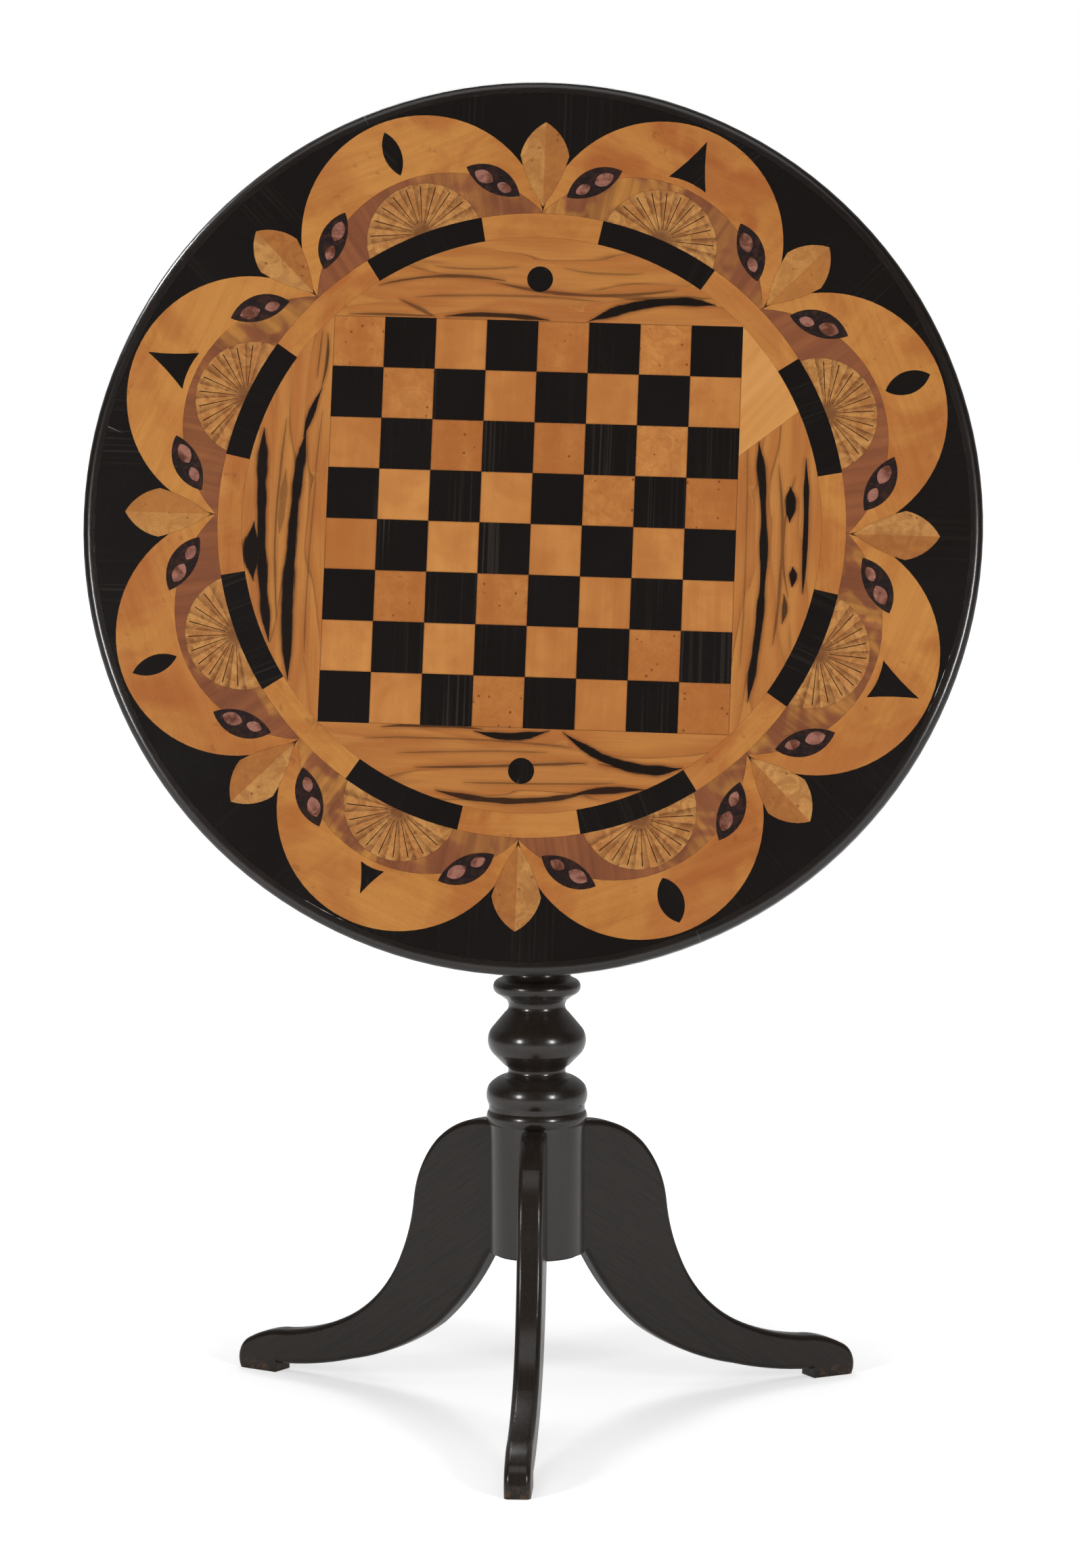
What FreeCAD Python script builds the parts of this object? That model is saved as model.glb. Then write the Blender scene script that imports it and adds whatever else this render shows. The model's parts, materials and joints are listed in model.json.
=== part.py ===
import FreeCAD, Part

import math
import os
from types import SimpleNamespace

import Sketcher

# Games table with a round inlaid top that tips up on a turned column with three legs.
# Frame: origin on the floor under the column's axis, +Z up, the front leg towards -Y.
# The table is drawn as it stands with its top tipped up, leaning back a little from upright.
# All lengths are in millimetres and all angles in degrees.

Vector = FreeCAD.Vector

DRIVING_SIZES = (
    ("pin_height", 697.0, "hinge pins above the floor"),
    ("pin_forward", 75.0, "hinge pins in front of the column's axis"),
    ("tilt_angle", 80.0, "how far the top is tipped up from level"),
    ("stop_gap", 0.3, "clearance between the top's underside and the hinge block"),
    ("overrun", 5.0, "how far a cutting shape runs past what it cuts"),
    ("drum_radius", 41.5, "radius of the drum that the legs are housed in"),
    ("drum_bottom", 140.0, "underside of the drum above the floor"),
    ("drum_top", 253.5, "top of the drum, where the turned part starts"),
    ("turning_top", 392.0, "top of the lower turning, foot of the shaft"),
    ("tenon_radius", 17.0, "round tenon that carries the hinge block"),
    ("tenon_shy", 0.5, "how far the tenon stays below the block's face"),
    ("seat_fit", 0.05, "radial clearance of glued and pressed round seats"),
    ("wedge_depth", 18.0, "depth of the sawn slot for the wedge"),
    ("wedge_width_top", 4.0, "slot width at the tenon's end"),
    ("wedge_width_foot", 1.6, "slot width at its foot"),
    ("wedge_fit", 0.05, "clearance each side of the wedge"),
    ("foot_reach", 319.0, "toe tip from the column's axis"),
    ("leg_thickness", 22.0, "thickness of each leg"),
    ("leg_rounding", 5.0, "rounding of the legs' long edges"),
    ("toe_pad_length", 43.0, "bearing face under the toe, with its chamfer"),
    ("toe_pad_drop", 8.0, "drop from the leg's underside to the floor"),
    ("toe_chamfer", 2.5, "chamfer at the toe's front edge"),
    ("leg_seat_gap", 0.1, "clearance between the drum and a leg's end"),
    ("tongue_root", 22.0, "inner end of a leg's tongue from the axis"),
    ("tongue_root_width", 15.0, "width of the tongue at its inner end"),
    ("tongue_neck_width", 11.0, "width of the tongue at the drum's face"),
    ("tongue_height", 95.0, "height of the tongue"),
    ("tongue_fit", 0.1, "clearance round the tongue"),
    ("plate_radius", 36.0, "leg plate under the drum"),
    ("plate_thickness", 2.5, "thickness of the leg plate"),
    ("plate_screw_place", 22.0, "plate screws from the axis"),
    ("block_width", 190.0, "hinge block across the table"),
    ("block_thickness", 36.0, "thickness of the hinge block"),
    ("block_back", 85.0, "back edge of the block behind the column's axis"),
    ("block_edge_round", 3.0, "rounding of the block's lower back edge"),
    ("pin_radius", 4.0, "hinge pins"),
    ("pin_fit", 0.05, "radial running clearance of the pins in the bearers"),
    ("pin_in_block", 22.0, "length of a pin in the block"),
    ("pin_in_bearer", 18.0, "length of a pin in the bearer"),
    ("pin_end_gap", 0.5, "clearance past each end of a pin"),
    ("bearer_gap", 0.6, "clearance between the block and a bearer"),
    ("bearer_length", 520.0, "length of a bearer"),
    ("bearer_thickness", 26.0, "width of a bearer across the table"),
    ("bearer_depth", 36.0, "depth of a bearer under the top"),
    ("bearer_slope", 46.0, "length of the slope at each end of a bearer"),
    ("bearer_tip_depth", 12.0, "depth left at the tip of a bearer"),
    ("bearer_counterbore", 10.0, "depth of the holes that hide the screw heads"),
    ("wood_screw_length", 36.0, "bearer screws"),
    ("wood_screw_head", 4.5, "head radius of the bearer screws"),
    ("wood_screw_shank", 2.2, "shank radius of the bearer screws"),
    ("small_screw_length", 12.0, "screws of the catch, keeper and leg plate"),
    ("small_screw_head", 3.4, "head radius of the small screws"),
    ("small_screw_shank", 1.6, "shank radius of the small screws"),
    ("screw_slot_width", 0.9, "width of a screw's slot"),
    ("screw_slot_depth", 0.9, "depth of a screw's slot"),
    ("screw_fit", 0.08, "clearance round screws in their holes"),
    ("top_radius", 378.0, "outer radius of the top"),
    ("core_thickness", 21.6, "thickness of the core planks"),
    ("plank_gap", 0.1, "glue line between planks"),
    ("veneer_thickness", 2.0, "thickness of the veneers"),
    ("glue_line", 0.1, "gap under the veneers"),
    ("joint_gap", 0.16, "gap between neighbouring veneers"),
    ("rim_width", 11.0, "width of the edge moulding"),
    ("rim_round", 7.0, "rounding of the moulding's upper edge"),
    ("rim_under_round", 3.0, "rounding of the moulding's lower edge"),
    ("pattern_turn", 1.7, "clockwise turn of the inlay on the top"),
    ("square_side", 43.0, "side of a chess square"),
    ("ring_width", 20.3, "radial width of the ring of blocks"),
    ("dot_radius", 10.75, "radius of the two ebony dots"),
    ("crown_margin", 1.7, "ebony left between a lobe's crown and the moulding"),
    ("cusp_margin", 1.5, "distance of the lobes' cusps from the ring"),
    ("catch_set_back", 4.0, "catch plate behind the block's back face"),
    ("catch_length", 52.0, "length of the catch plate"),
    ("catch_width", 34.0, "width of the catch plate"),
    ("catch_base", 3.0, "thickness of the catch plate"),
    ("catch_screw_inset", 4.6, "catch screws from the plate's long edges"),
    ("guide_length", 6.0, "length of each guide loop along the bolt"),
    ("guide_wall", 3.0, "wall of the guide loops"),
    ("bolt_width", 14.0, "width of the catch bolt"),
    ("bolt_thickness", 7.0, "thickness of the catch bolt"),
    ("bolt_throw", 8.0, "travel of the catch bolt"),
    ("bolt_bite", 6.0, "how far the bolt's nose enters past the block's back face"),
    ("bolt_bevel", 4.5, "bevel of the bolt's nose"),
    ("bolt_fit", 0.3, "clearance round the bolt"),
    ("bolt_rod_radius", 2.3, "radius of the bolt's tail rod"),
    ("bolt_solid_length", 30.0, "length of the bolt's flat part"),
    ("bolt_tail", 12.0, "rod past the rear guide"),
    ("knob_radius", 6.0, "radius of the bolt's knob"),
    ("knob_stem_radius", 2.5, "radius of the knob's stem"),
    ("knob_stem_length", 5.0, "length of the knob's stem"),
    ("knob_place", 22.0, "knob behind the bolt's nose"),
    ("spring_wire", 0.8, "diameter of the spring's wire"),
    ("spring_clearance", 0.3, "gap between the spring and the rod"),
    ("spring_end_gap", 0.3, "gap at each end of the spring"),
    ("keeper_width", 44.0, "width of the keeper"),
    ("keeper_height", 18.5, "height of the keeper"),
    ("keeper_thickness", 1.8, "thickness of the keeper"),
    ("keeper_lip", 0.6, "keeper's upper edge below the block's face"),
    ("keeper_screw_inset", 7.0, "keeper screws from its ends"),
    ("mortise_depth", 9.0, "depth of the mortise behind the keeper"),
)

SHEET_NAME = "Sizes"
SQUARES_PER_SIDE = 8
LOBES = 8
RING_BLOCKS = 16
PLANKS = 4
RIM_PIECES = 8
LEG_ANGLES = {"front_leg": 270.0, "right_leg": 30.0, "left_leg": 150.0}

document = FreeCAD.newDocument("games_table")
sheet = document.addObject("Spreadsheet::Sheet", SHEET_NAME)
for row, (alias, value, note) in enumerate(DRIVING_SIZES, start=1):
    sheet.set(f"A{row}", str(value))
    sheet.setAlias(f"A{row}", alias)
    sheet.set(f"B{row}", note)
document.recompute()


class Length:
    """A length with its value and the sheet formula that it is bound to."""

    def __init__(self, value, formula):
        self.value = value
        self.formula = formula

    def __add__(self, other):
        return Length(self.value + other.value, f"({self.formula} + {other.formula})")

    def __sub__(self, other):
        return Length(self.value - other.value, f"({self.formula} - {other.formula})")

    def __mul__(self, share):
        return Length(self.value * share, f"({self.formula} * {share:.9g})")

    def __truediv__(self, parts):
        return self * (1 / parts)

    def __neg__(self):
        return self * -1


NOTHING = Length(0.0, "0")
size = SimpleNamespace()
mm = SimpleNamespace()
for alias, value, note in DRIVING_SIZES:
    setattr(mm, alias, float(sheet.get(alias)))
    setattr(size, alias, Length(getattr(mm, alias), f"{SHEET_NAME}.{alias}"))

# Heights in the top's own frame are measured from the pins' axis with the top level.
pin_to_face = size.block_thickness / 2
underside = pin_to_face + size.stop_gap
veneer_level = underside + size.core_thickness + size.glue_line
playing_level = veneer_level + size.veneer_thickness
block_underside = size.pin_height - pin_to_face
field_radius = size.top_radius - size.rim_width - size.joint_gap
board_half = size.square_side * (SQUARES_PER_SIDE / 2)
ring_inner = board_half * math.sqrt(2) + size.joint_gap
ring_outer = ring_inner + size.ring_width
block_back_face = size.pin_forward + size.block_back
bearer_near_side = size.block_width / 2 + size.bearer_gap
bolt_underside = underside - size.catch_base - size.bolt_fit - size.bolt_thickness
bolt_middle = bolt_underside + size.bolt_thickness / 2
nose_tip = block_back_face - size.bolt_bite
catch_front = block_back_face + size.catch_set_back
catch_rear = catch_front + size.catch_length
keeper_top = pin_to_face - size.keeper_lip

top_place = FreeCAD.Placement(
    Vector(0, -mm.pin_forward, mm.pin_height),
    FreeCAD.Rotation(Vector(1, 0, 0), mm.tilt_angle),
)
inlay_place = top_place.multiply(
    FreeCAD.Placement(
        Vector(0, mm.pin_forward, veneer_level.value),
        FreeCAD.Rotation(Vector(0, 0, 1), -mm.pattern_turn),
    )
)

subparts = {}


def keep(node, item, place=None):
    """Record a finished sub-part under its node's name."""
    if place is not None:
        item.Placement = place
    item.Label = node
    subparts[node] = item
    return item


# Helpers for solids from bound primitives


def bind_place(item, x, y, z):
    item.setExpression("Placement.Base.x", x.formula)
    item.setExpression("Placement.Base.y", y.formula)
    item.setExpression("Placement.Base.z", z.formula)


def box(name, low, extent):
    """A box from its lowest corner and its extent, both as three lengths."""
    item = document.addObject("Part::Box", name)
    item.setExpression("Length", extent[0].formula)
    item.setExpression("Width", extent[1].formula)
    item.setExpression("Height", extent[2].formula)
    bind_place(item, *low)
    return item


def turn_to(axis):
    """Rotation that brings +Z to the named axis."""
    turns = {
        "+x": FreeCAD.Rotation(Vector(0, 1, 0), 90),
        "-x": FreeCAD.Rotation(Vector(0, 1, 0), -90),
        "+y": FreeCAD.Rotation(Vector(1, 0, 0), -90),
        "-y": FreeCAD.Rotation(Vector(1, 0, 0), 90),
        "+z": FreeCAD.Rotation(),
        "-z": FreeCAD.Rotation(Vector(1, 0, 0), 180),
    }
    return turns[axis]


def cylinder(name, radius, height, foot, axis="+z"):
    """A cylinder from the centre of its foot along the named axis."""
    item = document.addObject("Part::Cylinder", name)
    item.Placement = FreeCAD.Placement(Vector(), turn_to(axis))
    item.setExpression("Radius", radius.formula)
    item.setExpression("Height", height.formula)
    bind_place(item, *foot)
    return item


def cut(name, base, *tools):
    """Base with every tool taken out of it."""
    item = document.addObject("Part::Cut", name)
    item.Base = base
    item.Tool = tools[0] if len(tools) == 1 else group(name + "_tools", tools)
    return item


def group(name, items):
    item = document.addObject("Part::Compound", name)
    item.Links = list(items)
    return item


def fuse(name, items):
    item = document.addObject("Part::MultiFuse", name)
    item.Shapes = list(items)
    return item


def common(name, base, tool):
    item = document.addObject("Part::Common", name)
    item.Base = base
    item.Tool = tool
    return item


def feature(node, shape, place=None):
    """A sub-part whose outline is worked out here from the sheet's sizes."""
    item = document.addObject("Part::Feature", node)
    item.Shape = shape
    return keep(node, item, place)


# Helpers for sketched bodies


def origin_plane(body, role):
    return next(item for item in body.Origin.OriginFeatures if item.Role == role)


def add_sketch(body, name, role):
    sketch = body.newObject("Sketcher::SketchObject", name)
    sketch.AttachmentSupport = [(origin_plane(body, role), "")]
    sketch.MapMode = "FlatFace"
    return sketch


def tie_coordinate(ties, kind, axis_line, geometry, end, length):
    """Note the tie of one coordinate of a sketch point to its formula."""
    if length.value == 0:
        ties.append((Sketcher.Constraint("PointOnObject", geometry, end, axis_line), None))
    elif length.value > 0:
        terms = (-1, 1, geometry, end, length.value)
        ties.append((Sketcher.Constraint(kind, *terms), length.formula))
    else:
        terms = (geometry, end, -1, 1, -length.value)
        ties.append((Sketcher.Constraint(kind, *terms), (-length).formula))


def tie_point(ties, geometry, end, point):
    tie_coordinate(ties, "DistanceX", -2, geometry, end, point[0])
    tie_coordinate(ties, "DistanceY", -1, geometry, end, point[1])


def apply_ties(sketch, ties):
    """Add all the noted constraints at once, then bind their values."""
    first = len(sketch.Constraints)
    sketch.addConstraint([constraint for constraint, formula in ties])
    for number, (constraint, formula) in enumerate(ties):
        if formula is not None:
            sketch.setExpression(f"Constraints[{first + number}]", formula)


def end_at(item, point):
    """Which end of a sketch line or arc lies at a point: 1 its start, 2 its finish."""
    place = Vector(point[0].value, point[1].value, 0)
    to_start = item.StartPoint.distanceToPoint(place)
    return 1 if to_start < item.EndPoint.distanceToPoint(place) else 2


def flat_arc(start, via, finish):
    """Arc through three points, always run anticlockwise as a sketch keeps it."""
    circle = Part.Circle(start, via, finish)
    way_in = via - start
    way_out = finish - via
    if way_in.x * way_out.y - way_in.y * way_out.x < 0:
        start, finish = finish, start
    middle = circle.Center
    first = math.atan2(start.y - middle.y, start.x - middle.x)
    last = math.atan2(finish.y - middle.y, finish.x - middle.x)
    if last < first:
        last += 2 * math.pi
    flat = Part.Circle(middle, Vector(0, 0, 1), circle.Radius)
    return Part.ArcOfCircle(flat, first, last)


def draw_outline(sketch, steps):
    """Closed outline. A step is a point (x, y), or (via, point) for an arc through via."""
    points = [step[1] if isinstance(step[0], tuple) else step for step in steps]
    vias = {number: step[0] for number, step in enumerate(steps) if isinstance(step[0], tuple)}
    shapes = []
    for number, point in enumerate(points):
        before = points[number - 1]
        start = Vector(before[0].value, before[1].value, 0)
        finish = Vector(point[0].value, point[1].value, 0)
        if number in vias:
            via = Vector(vias[number][0].value, vias[number][1].value, 0)
            shapes.append(flat_arc(start, via, finish))
        else:
            shapes.append(Part.LineSegment(start, finish))
    sketch.addGeometry(shapes, False)
    markers = [Part.Point(Vector(via[0].value, via[1].value, 0)) for via in vias.values()]
    count = len(steps)
    if markers:
        sketch.addGeometry(markers, True)
    drawn = sketch.Geometry
    ties = []
    for number, point in enumerate(points):
        following = (number + 1) % count
        here = end_at(drawn[number], point)
        there = end_at(drawn[following], point)
        ties.append((Sketcher.Constraint("Coincident", number, here, following, there), None))
        tie_point(ties, number, here, point)
    for marker, (number, via) in enumerate(vias.items(), start=count):
        tie_point(ties, marker, 1, via)
        ties.append((Sketcher.Constraint("PointOnObject", marker, 1, number), None))
    apply_ties(sketch, ties)


def draw_circle(sketch, centre, radius):
    middle = Vector(centre[0].value, centre[1].value, 0)
    sketch.addGeometry(Part.Circle(middle, Vector(0, 0, 1), radius.value), False)
    ties = []
    if centre[0].value == 0 and centre[1].value == 0:
        ties.append((Sketcher.Constraint("Coincident", 0, 3, -1, 1), None))
    else:
        tie_point(ties, 0, 3, centre)
    ties.append((Sketcher.Constraint("Radius", 0, radius.value), radius.formula))
    apply_ties(sketch, ties)


def add_pad(body, name, sketch, length, both_ways=False):
    pad = body.newObject("PartDesign::Pad", name)
    pad.Profile = sketch
    pad.setExpression("Length", length.formula)
    pad.Midplane = both_ways
    return pad


def add_pocket(body, name, sketch, length, reverse=False, both_ways=False):
    """A pocket that is checked to take material away."""
    document.recompute()
    before = body.Shape.Volume
    pocket = body.newObject("PartDesign::Pocket", name)
    pocket.Profile = sketch
    pocket.setExpression("Length", length.formula)
    pocket.Reversed = reverse
    pocket.Midplane = both_ways
    document.recompute()
    if not body.Shape.Volume < before:
        raise ValueError(f"{name} takes nothing away")
    return pocket


def raise_sketch(sketch, height):
    sketch.setExpression("AttachmentOffset.Base.z", height.formula)


# Column: turned in one piece, with three housings for the legs' tongues

# Each row is (radius, height) or (via radius, via height, radius, height). Radii are shares
# of the drum's radius, heights shares of the stretch that the rows belong to.
TURNING_SHARES = (
    (1.058, 0.040, 1.010, 0.087),
    (1.010, 0.120),
    (1.062, 0.182, 1.010, 0.242),
    (0.929, 0.267, 0.740, 0.300),
    (0.605, 0.327, 0.686, 0.370),
    (0.937, 0.447),
    (1.032, 0.524, 0.959, 0.600),
    (0.671, 0.703),
    (0.597, 0.754, 0.660, 0.788),
    (0.800, 0.818),
    (0.920, 0.865, 0.800, 0.914),
    (0.727, 0.926),
    (0.689, 0.963, 0.727, 1.0),
)
SHAFT_SHARES = (
    (0.823, 0.0203, 0.722, 0.0406),
    (0.671, 0.048),
    (0.772, 0.232, 0.582, 0.472),
    (0.519, 0.7675),
    (0.633, 0.790, 0.519, 0.812),
    (0.557, 0.823),
    (0.608, 0.886, 0.835, 0.934),
    (0.873, 0.941),
    (0.911, 0.970, 0.873, 1.0),
)


def turned_steps(rows, foot, rise):
    steps = []
    for row in rows:
        places = [
            (size.drum_radius * row[at], foot + rise * row[at + 1])
            for at in range(0, len(row), 2)
        ]
        steps.append(tuple(places) if len(places) > 1 else places[0])
    return steps


def rotated(x, y, degrees):
    turn = math.radians(degrees)
    return (x * math.cos(turn) - y * math.sin(turn), x * math.sin(turn) + y * math.cos(turn))


def tongue_corners(clearance, reach, degrees):
    """Dovetail tongue seen from above, running out along one direction."""
    root = size.tongue_root - clearance
    half_root = size.tongue_root_width / 2 + clearance
    half_neck = size.tongue_neck_width / 2 + clearance
    corners = ((root, -half_root), (reach, -half_neck), (reach, half_neck), (root, half_root))
    return [rotated(x, y, degrees) for x, y in corners]


def build_column():
    body = document.addObject("PartDesign::Body", "column_body")
    tenon_top = size.pin_height + pin_to_face - size.tenon_shy
    profile = add_sketch(body, "column_profile", "XZ_Plane")
    steps = [(NOTHING, size.drum_bottom), (size.drum_radius, size.drum_bottom)]
    steps.append((size.drum_radius, size.drum_top))
    steps += turned_steps(TURNING_SHARES, size.drum_top, size.turning_top - size.drum_top)
    steps += turned_steps(SHAFT_SHARES, size.turning_top, block_underside - size.turning_top)
    steps.append((size.tenon_radius, block_underside))
    steps.append((size.tenon_radius, tenon_top))
    steps.append((NOTHING, tenon_top))
    draw_outline(profile, steps)
    turned = body.newObject("PartDesign::Revolution", "column_turning")
    turned.Profile = profile
    turned.ReferenceAxis = (profile, ["V_Axis"])
    turned.Angle = 360
    document.recompute()

    slot = add_sketch(body, "wedge_slot", "XZ_Plane")
    foot = tenon_top - size.wedge_depth
    draw_outline(
        slot,
        [
            (-size.wedge_width_foot / 2, foot),
            (size.wedge_width_foot / 2, foot),
            (size.wedge_width_top / 2, tenon_top),
            (-size.wedge_width_top / 2, tenon_top),
        ],
    )
    add_pocket(body, "wedge_slot_cut", slot, size.tenon_radius * 2 + size.overrun, both_ways=True)

    hole = add_sketch(body, "plate_screw_pilot", "XY_Plane")
    raise_sketch(hole, size.drum_bottom)
    away = rotated(size.plate_screw_place, NOTHING, LEG_ANGLES["right_leg"] + 60)
    draw_circle(hole, away, size.small_screw_shank + size.screw_fit)
    pilot = add_pocket(
        body, "plate_screw_pilot_cut", hole, size.small_screw_length, reverse=True
    )
    housing = add_sketch(body, "tongue_housing", "XY_Plane")
    raise_sketch(housing, size.drum_bottom)
    reach = size.drum_radius + size.overrun
    draw_outline(housing, tongue_corners(size.tongue_fit, reach, LEG_ANGLES["right_leg"]))
    length = size.tongue_height + size.tongue_fit
    housed = add_pocket(body, "tongue_housing_cut", housing, length, reverse=True)
    before = body.Shape.Volume
    around = body.newObject("PartDesign::PolarPattern", "three_housings")
    around.Originals = [pilot, housed]
    around.Axis = (profile, ["V_Axis"])
    around.Angle = 360
    around.Occurrences = 3
    body.Tip = around
    document.recompute()
    if not body.Shape.Volume < before:
        raise ValueError("the housings take nothing away")
    keep("column", body)


# Legs: sawn to shape, with rounded edges and a dovetail tongue

# Shares of the leg's run from the drum to the toe's tip and of the drum top's height, in rows
# as for the column.
LEG_OUTER_SHARES = (
    (0.1266, 0.975, 0.2162, 0.906),
    (0.2734, 0.8086, 0.3021, 0.691),
    (0.3182, 0.594, 0.3522, 0.488),
    (0.4238, 0.359, 0.5562, 0.242),
    (0.6743, 0.189, 0.8174, 0.156),
    (0.9034, 0.139, 0.9534, 0.115),
    (0.9928, 0.0742, 1.0, 0.0234),
)
LEG_INNER_SHARES = (
    (0.6994, 0.048, 0.5454, 0.0859),
    (0.3593, 0.156, 0.2162, 0.25),
    (0.1052, 0.375, 0.03, 0.4961),
)


def leg_steps(rows):
    start = size.drum_radius + size.leg_seat_gap
    run = size.foot_reach - start
    steps = []
    for row in rows:
        via = (start + run * row[0], size.drum_top * row[1])
        steps.append((via, (start + run * row[2], size.drum_top * row[3])))
    return steps


def leg_edges(pad):
    """Long edges of both sides, without those at the drum and round the bearing face."""
    half = mm.leg_thickness / 2
    names = []
    for number, edge in enumerate(pad.Shape.Edges, start=1):
        middle = edge.valueAt((edge.FirstParameter + edge.LastParameter) / 2)
        on_side = abs(abs(middle.y) - half) < mm.leg_seat_gap
        flat = edge.BoundBox.YLength < mm.leg_seat_gap
        clear_of_toe = middle.z > mm.toe_pad_drop - mm.leg_seat_gap
        if on_side and flat and middle.x > mm.drum_radius and clear_of_toe:
            names.append(f"Edge{number}")
    return names


def build_leg(node, degrees):
    body = document.addObject("PartDesign::Body", node + "_body")
    profile = add_sketch(body, node + "_profile", "XZ_Plane")
    inner_end = size.drum_radius - size.leg_thickness / 4
    outer_start = size.drum_radius + size.leg_seat_gap
    steps = [(inner_end, size.drum_top), (outer_start, size.drum_top)]
    steps += leg_steps(LEG_OUTER_SHARES)
    pad_start = size.foot_reach - size.toe_pad_length
    steps.append((size.foot_reach - size.toe_chamfer, NOTHING))
    steps.append((pad_start, NOTHING))
    steps.append((pad_start, size.toe_pad_drop))
    steps += leg_steps(LEG_INNER_SHARES)
    steps.append((outer_start, size.drum_bottom))
    steps.append((inner_end, size.drum_bottom))
    draw_outline(profile, steps)
    pad = add_pad(body, node + "_board", profile, size.leg_thickness, both_ways=True)
    document.recompute()
    rounded = body.newObject("PartDesign::Fillet", node + "_rounding")
    rounded.Base = (pad, leg_edges(pad))
    rounded.setExpression("Radius", size.leg_rounding.formula)
    seat = add_sketch(body, node + "_seat", "XY_Plane")
    draw_circle(seat, (NOTHING, NOTHING), size.drum_radius + size.leg_seat_gap)
    add_pocket(body, node + "_seat_cut", seat, size.drum_top + size.overrun, reverse=True)
    tongue = add_sketch(body, node + "_tongue_plan", "XY_Plane")
    raise_sketch(tongue, size.drum_bottom)
    draw_outline(tongue, tongue_corners(NOTHING, size.drum_radius + size.leg_rounding, 0))
    add_pad(body, node + "_tongue", tongue, size.tongue_height)
    document.recompute()
    keep(node, body, FreeCAD.Placement(Vector(), FreeCAD.Rotation(Vector(0, 0, 1), degrees)))


# Screws: slotted countersunk wood screws, drawn pointing up from the flat of the head


def screw_solid(length, head, shank):
    """A screw whose head's flat is at the origin and whose point is at +Z."""
    sink = head - shank
    point = shank * 2
    body = Part.makeCone(head, shank, sink)
    body = body.fuse(Part.makeCylinder(shank, length - sink - point, Vector(0, 0, sink)))
    tip = Part.makeCone(shank, shank / 4, point, Vector(0, 0, length - point))
    body = body.fuse(tip).removeSplitter()
    slot = Part.makeBox(head * 2, mm.screw_slot_width, mm.screw_slot_depth)
    slot.translate(Vector(-head, -mm.screw_slot_width / 2, 0))
    return body.cut(slot)


def small_screw():
    return screw_solid(mm.small_screw_length, mm.small_screw_head, mm.small_screw_shank)


def placed_screws(screw, places, axis, turn_step=37):
    """Copies of a screw at each place, every slot left at its own angle."""
    copies = []
    for number, place in enumerate(places):
        copy = screw.copy()
        copy.rotate(Vector(), Vector(0, 0, 1), number * turn_step)
        copy.Placement = FreeCAD.Placement(place, turn_to(axis)).multiply(copy.Placement)
        copies.append(copy)
    return Part.makeCompound(copies)


def screw_hole(name, place, axis, head, shank, depth):
    """Countersink and shank hole for a screw whose head is flush at its place."""
    wide = head + size.screw_fit
    narrow = shank + size.screw_fit
    sink = document.addObject("Part::Cone", name + "_sink")
    sink.Placement = FreeCAD.Placement(Vector(), turn_to(axis))
    sink.setExpression("Radius1", wide.formula)
    sink.setExpression("Radius2", narrow.formula)
    sink.setExpression("Height", (head - shank).formula)
    bind_place(sink, *place)
    bore = cylinder(name + "_bore", narrow, depth, place, axis)
    return [sink, bore]


def bound_vector(place):
    return Vector(place[0].value, place[1].value, place[2].value)


# Leg plate under the drum


def build_leg_plate():
    level = size.drum_bottom - size.plate_thickness
    disc = cylinder("plate_disc", size.plate_radius, size.plate_thickness, (NOTHING, NOTHING, level))
    places = []
    holes = []
    for number in range(3):
        x, y = rotated(size.plate_screw_place, NOTHING, LEG_ANGLES["right_leg"] + 60 + 120 * number)
        places.append((x, y, level))
        holes += screw_hole(
            f"plate_hole_{number}", places[-1], "+z",
            size.small_screw_head, size.small_screw_shank, size.plate_thickness + size.overrun,
        )
    keep("leg_plate", cut("leg_plate_cut", disc, *holes))
    feature("leg_plate_screws", placed_screws(small_screw(), map(bound_vector, places), "+z"))


# Hinge block: carries the top on two pins


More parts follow.
